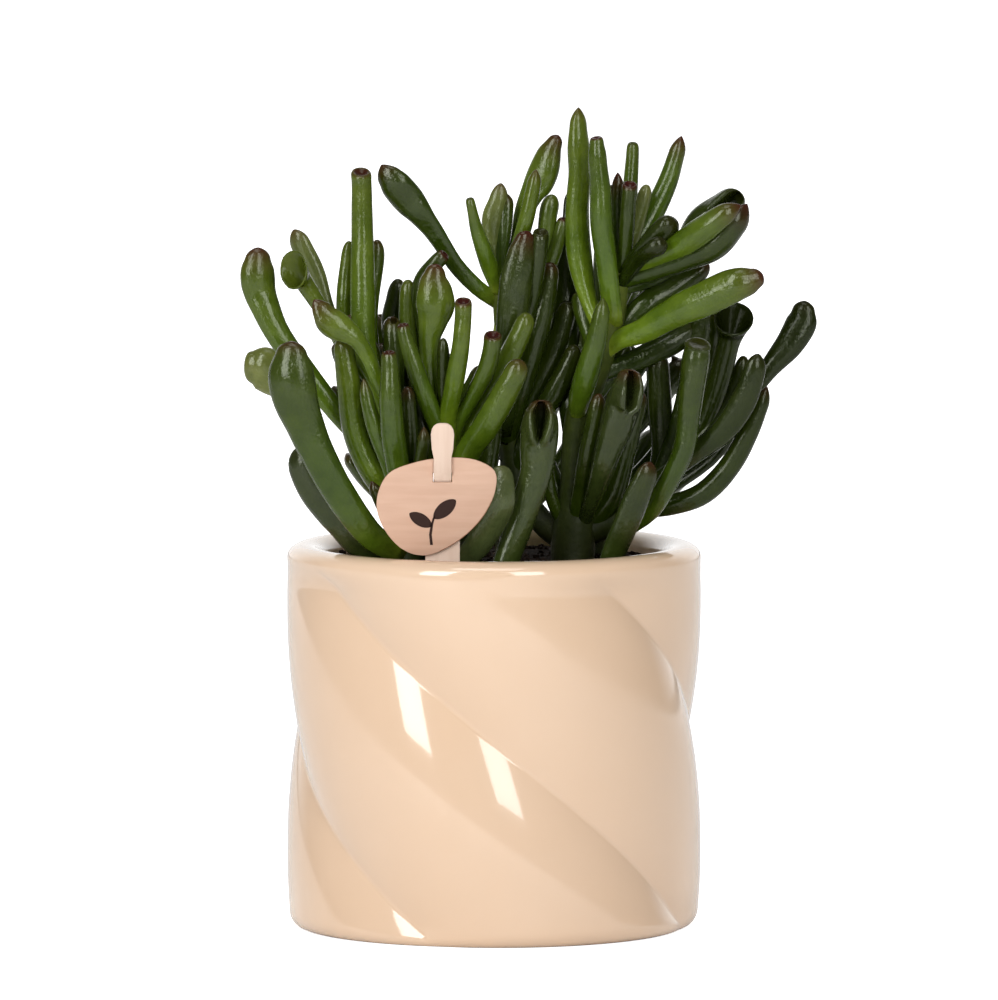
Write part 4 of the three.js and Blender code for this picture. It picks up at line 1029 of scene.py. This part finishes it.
def modelPot():
    pot = potShape
    piece = drawUp("glazedPot", pot["sides"], potProfile())
    lobe = 360 / pot["lobes"]
    for corner in piece.data.vertices:
        x, y, up = corner.co
        radius = math.hypot(x, y)
        outside = radius > (pot["radius"] + pot["innerRadius"]) / 2
        above = (up if outside else pot["height"]) - pot["middle"]
        angle = math.degrees(math.atan2(x, -y))
        if outside:
            near = abs(1 - 2 * ((angle % lobe) / lobe))
            relief = smoothStep(up, *pot["fadeIn"]) * (1 - smoothStep(up, *pot["fadeOut"]))
            radius -= pot["creaseDepth"] * relief * near ** pot["creaseSharpness"]
        turn = pot["creaseAtMiddle"] + pot["turn"] * above
        wound = math.radians(angle + turn)
        corner.co = Vector((radius * math.sin(wound), -radius * math.cos(wound), up)) * mm
    makeActive(piece)
    bpy.ops.object.shade_smooth()
    piece.data.materials.append(plainMaterial("creamGlaze"))
    standFor(piece, "pot")
    print("pot modelled")


modelPot()

soilShape = {
    "top": 102.3,
    "foot": 8.6,
    "radius": 46.8,
    "sides": 96,
    "rings": 26,
    "roughness": 1.1,
    "coarse": (0.09, 3, 0.8),  # how close the bumps are, where they start and their share
    "fine": (0.45, 9, 0.5),
    "crumbs": 900,
    "crumbSize": (0.35, 1.1),
    "crumbRoughness": 0.5,
    "specks": 60,
    "speckSize": 0.6,  # against a crumb
    "bare": 1.5,  # the ring along the wall that no crumb lies on
}


def soilHeight(x, y):
    height = 0
    for close, start, share in (soilShape["coarse"], soilShape["fine"]):
        height += noise.noise(Vector((x * close, y * close, start))) * share
    return soilShape["top"] + soilShape["roughness"] * height


def modelSoil():
    soil = soilShape
    peat, grit = plainMaterial("darkPeat"), plainMaterial("paleGrit")
    profile = [(soil["radius"], soil["foot"]), (soil["radius"], soil["top"])]
    for ring in range(1, soil["rings"] + 1):
        profile.append((mix(soil["radius"], 1, ring / soil["rings"]), soil["top"]))
    bed = drawUp("soilBed", soil["sides"], profile, closeTip=True)
    for corner in bed.data.vertices:
        x, y, up = corner.co
        if up > soil["top"] - 1:
            up = soilHeight(x, y)
        corner.co = Vector((x, y, up)) * mm
    bed.data.materials.append(peat)
    ball = bpy.ops.mesh.primitive_ico_sphere_add
    crumb = startPiece("crumbMaster", ball, subdivisions=1, radius=1)
    scatter = random.Random(8)
    pieces = [bed]
    for index in range(soil["crumbs"] + soil["specks"]):
        pale = index >= soil["crumbs"]
        away = (soil["radius"] - soil["bare"]) * math.sqrt(scatter.random())
        turn = scatter.uniform(0, 2 * math.pi)
        x, y = away * math.cos(turn), away * math.sin(turn)
        size = mix(*soil["crumbSize"], scatter.random() ** 2) * (soil["speckSize"] if pale else 1)
        middle = Vector((x, y, soilHeight(x, y) + size / 4))
        piece = copyOf(crumb, "crumb")
        piece.data.materials.append(grit if pale else peat)
        for corner in piece.data.vertices:
            rough = 1 + soil["crumbRoughness"] * scatter.uniform(-1, 1)
            corner.co = (middle + corner.co * size * rough) * mm
        pieces.append(piece)
    deleteMaster(crumb)
    standFor(joinAll(pieces, "pottingSoil"), "soil")
    print("soil modelled")


modelSoil()

tagShape = {
    "depth": -38.5,
    "across": -14.4,
    "slotUp": 126,
    "slot": (5.2, 4, 2.7),  # what is cut out: its width, depth and height
    "discThickness": 0.8,
    "stakeThickness": 0.9,
    "edge": 0.22,
    "rimFacing": 0.5,  # a side that faces the front less than this has the burnt finish
    "bevelFacing": 0.95,  # and at the lower right its bevel too, as painted shade
    "outlineSteps": 96,
    "outline": [[-32.9, 119.2], [-31.2, 112.2], [-25.6, 105.7], [-19.4, 104], [-11, 107.4],
                [-3.4, 114.4], [0.3, 122], [0.3, 127.6], [-4.5, 130.7], [-12.4, 131.6],
                [-22.2, 130.2], [-29.8, 126.8]],
    # the stake's height, width and how far it lies behind the disc's middle plane
    "stake": [[72, 2, 1.2], [80, 9.6, 1.2], [119, 9.6, 1.2], [121.5, 5, 1.2], [124.6, 5, 1.1],
              [127.4, 5, -1.1], [131.4, 4.9, -1.2], [134, 6, -1.2], [138, 6.5, -1.2], [139.4, 6, -1.2],
              [140.4, 4.9, -1.2], [141, 3.2, -1.2], [141.2, 1.6, -1.2]],
}
tagMiddle = alongSight((tagShape["across"], tagShape["depth"], tagShape["slotUp"]))
discFront = tagShape["depth"] - tagShape["discThickness"] / 2


def discOutline():
    steps, depth = tagShape["outlineSteps"], tagShape["depth"]
    points = [alongSight((across, depth, up)) for across, up in tagShape["outline"]]
    outline = []
    for step in range(steps):
        along = step * len(points) / steps
        here = int(along)
        four = [points[(here + shift) % len(points)] for shift in (-1, 0, 1, 2)]
        place = between(*four, along - here)[0]
        outline.append(Vector((place.x, discFront, place.z)) * mm)
    return outline


def modelDisc():
    tag = tagShape
    disc = drawPlate("tagDisc", discOutline(), tag["discThickness"] * mm)
    cutter = startPiece("slotCutter", bpy.ops.mesh.primitive_cube_add, size=1)
    for corner in cutter.data.vertices:
        away = Vector([share * size for share, size in zip(corner.co, tag["slot"])])
        corner.co = (tagMiddle + away) * mm
    makeActive(disc)
    cut = disc.modifiers.new("slot", "BOOLEAN")
    cut.object = cutter
    cut.operation = "DIFFERENCE"
    cut.solver = "EXACT"
    bpy.ops.object.modifier_apply(modifier=cut.name)
    bpy.data.objects.remove(cutter)
    softenEdges(disc, tag["edge"] * mm, 30)
    disc.data.materials.append(plainMaterial("discWood"))
    disc.data.materials.append(plainMaterial("burntEdgeAndShade"))
    # The cut sides all round take the burnt finish; the bevel at the lower right takes it too, as
    # painted shade.
    for side in disc.data.polygons:
        facing = abs(side.normal.y)
        lowerRight = side.normal.x - side.normal.z > tag["rimFacing"]
        if facing < tag["rimFacing"] or (lowerRight and facing < tag["bevelFacing"]):
            side.material_index = 1
    standFor(disc, "tag_disc")
    print("disc modelled")


def modelStake():
    tag = tagShape
    rows = []
    for height, width, behind in tag["stake"]:
        up = tagMiddle.z + height - tag["slotUp"]
        rows.append((Vector((tagMiddle.x, tag["depth"] + behind, up)) * mm, width * mm))
    stake = drawBar("tagStake", rows, tag["stakeThickness"] * mm)
    softenEdges(stake, tag["edge"] * mm, 50)
    stake.data.materials.append(plainMaterial("stakeWood"))
    standFor(stake, "tag_stake")
    print("stake modelled")


# A plain two-leaved sprout, printed in dark ink: a little higher than the disc's face.
sprigShape = {
    "foot": (-17.5, 107),
    "stem": [(0, 0, 0.8), (-0.3, 2.8, 0.75), (0.1, 5.6, 0.7), (0.8, 8, 0.55)],
    # each leaf: where it starts on the stem, its length, its width and its turn in degrees
    "leaves": [(0.1, 5.2, 7.2, 3.5, 150), (0.6, 7.4, 8, 3.9, 40)],
    "leafSides": 32,
    "leafTaper": 0.35,
    "thickness": 0.05,
}


def sprigLeaf(foot, startX, startUp, length, width, turn):
    a = math.radians(turn)
    outline = []
    for step in range(sprigShape["leafSides"]):
        b = math.radians(360 * step / sprigShape["leafSides"])
        along = (math.cos(b) + 1) * length / 2
        side = math.sin(b) * abs(math.sin(b)) ** sprigShape["leafTaper"] * width / 2
        x = startX + along * math.cos(a) - side * math.sin(a)
        up = startUp + along * math.sin(a) + side * math.cos(a)
        outline.append((foot + Vector((x, 0, up))) * mm)
    return drawPlate("sprigLeaf", outline, sprigShape["thickness"] * mm)


def modelSprig():
    sprig = sprigShape
    across, up = sprig["foot"]
    foot = alongSight((across, tagShape["depth"], up))
    foot.y = discFront - sprig["thickness"]
    pieces = [sprigLeaf(foot, *leaf) for leaf in sprig["leaves"]]
    half = sprig["thickness"] / 2
    rows = [((foot + Vector((x, half, up))) * mm, width * mm) for x, up, width in sprig["stem"]]
    pieces.append(drawBar("sprigStem", rows, sprig["thickness"] * mm))
    printed = joinAll(pieces, "tagSprig")
    bpy.ops.object.shade_flat()
    printed.data.materials.append(plainMaterial("darkInk"))
    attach(printed, "root")
    print("sprig modelled")


modelDisc()
modelStake()
modelSprig()

studio = {
    "floorSize": 60,
    "floor": {"Base Color": (0.86, 0.86, 0.86), "Roughness": 0.9},
    "floorGlow": 0.92,
    "roomGlow": 0.15,
    "backdrop": 1.06,
    # each light: degrees round from the front to the right, degrees up, metres away, size,
    # watts, and whether it shows in the gloss
    "lights": {
        "leftSoftbox": (-33, 25, 1.6, (0.47, 1.24), 13.5, True),
        "rightSoftbox": (20, 25, 1.6, (0.46, 1.18), 9.6, True),
        "topSoftbox": (-10, 75, 1.6, (0.7, 0.7), 4, True),
        "backLeftFill": (-140, 24, 2.6, (3, 1.8), 30, False),
        "backRightFill": (135, 24, 2.6, (3, 1.8), 28, False),
    },
    "lightTarget": (0, 0, 0.11),
    "cameraPlace": (0.0014, -3.982, 0.4995),
    "cameraTarget": (0.0014, 0, 0.1196),
    "lens": 514.4,
}


def modelFloor():
    floor = startPiece("floor", bpy.ops.mesh.primitive_plane_add, size=studio["floorSize"])
    material, tree, shader = newMaterial("paleFloor", studio["floor"])
    # The camera sees the floor lit to white, as in a studio with a lit table.
    seen = addNode(tree, "LightPath", {}).outputs["Is Camera Ray"]
    glow = addNode(tree, "Emission", {"Color": (1, 1, 1), "Strength": studio["floorGlow"]})
    lit = addNode(tree, "AddShader", {0: shader.outputs[0], 1: glow.outputs[0]})
    both = addNode(tree, "MixShader", {0: seen, 1: shader.outputs[0], 2: lit.outputs[0]})
    setInputs(tree.nodes["Material Output"], {"Surface": both.outputs[0]})
    floor.data.materials.append(material)


def aim(thing, target):
    way = Vector(target) - thing.location
    thing.rotation_euler = way.to_track_quat("-Z", "Y").to_euler()


def modelLights():
    target = Vector(studio["lightTarget"])
    for name, (around, up, away, size, watts, shows) in studio["lights"].items():
        a, e = math.radians(around), math.radians(up)
        way = Vector((math.sin(a) * math.cos(e), -math.cos(a) * math.cos(e), math.sin(e)))
        bpy.ops.object.light_add(type="AREA", location=target + way * away)
        light = bpy.context.object
        light.name = name
        light.data.shape = "RECTANGLE"
        light.data.size, light.data.size_y = size
        light.data.energy = watts
        light.visible_camera = False
        light.visible_glossy = shows
        aim(light, target)


# The room is dim in front, where the pot mirrors it, and bright behind the plant.
def modelRoom():
    world = bpy.data.worlds.new("studioRoom")
    scene.world = world
    world.use_nodes = True
    tree = world.node_tree
    way = addNode(tree, "TexCoord", {}).outputs["Generated"]
    back = addNode(tree, "SeparateXYZ", {0: way}).outputs["Y"]
    lift = addNode(tree, "Math", {0: back, 1: 0.5, 2: 0.5}, operation="MULTIPLY_ADD").outputs[0]
    stops = [(0.75, (studio["roomGlow"],) * 3), (0.92, (studio["backdrop"],) * 3)]
    setInputs(tree.nodes["Background"], {"Color": rampNode(tree, lift, stops)})


def modelCamera():
    bpy.ops.object.camera_add(location=studio["cameraPlace"])
    camera = bpy.context.object
    camera.name = "photoCamera"
    camera.data.lens = studio["lens"]
    camera.data.sensor_width = 36
    camera.data.clip_start = 0.1
    camera.data.clip_end = 100
    aim(camera, studio["cameraTarget"])
    scene.camera = camera


modelFloor()
modelLights()
modelRoom()
modelCamera()
scene.view_settings.view_transform = "Standard"
scene.view_settings.look = "None"
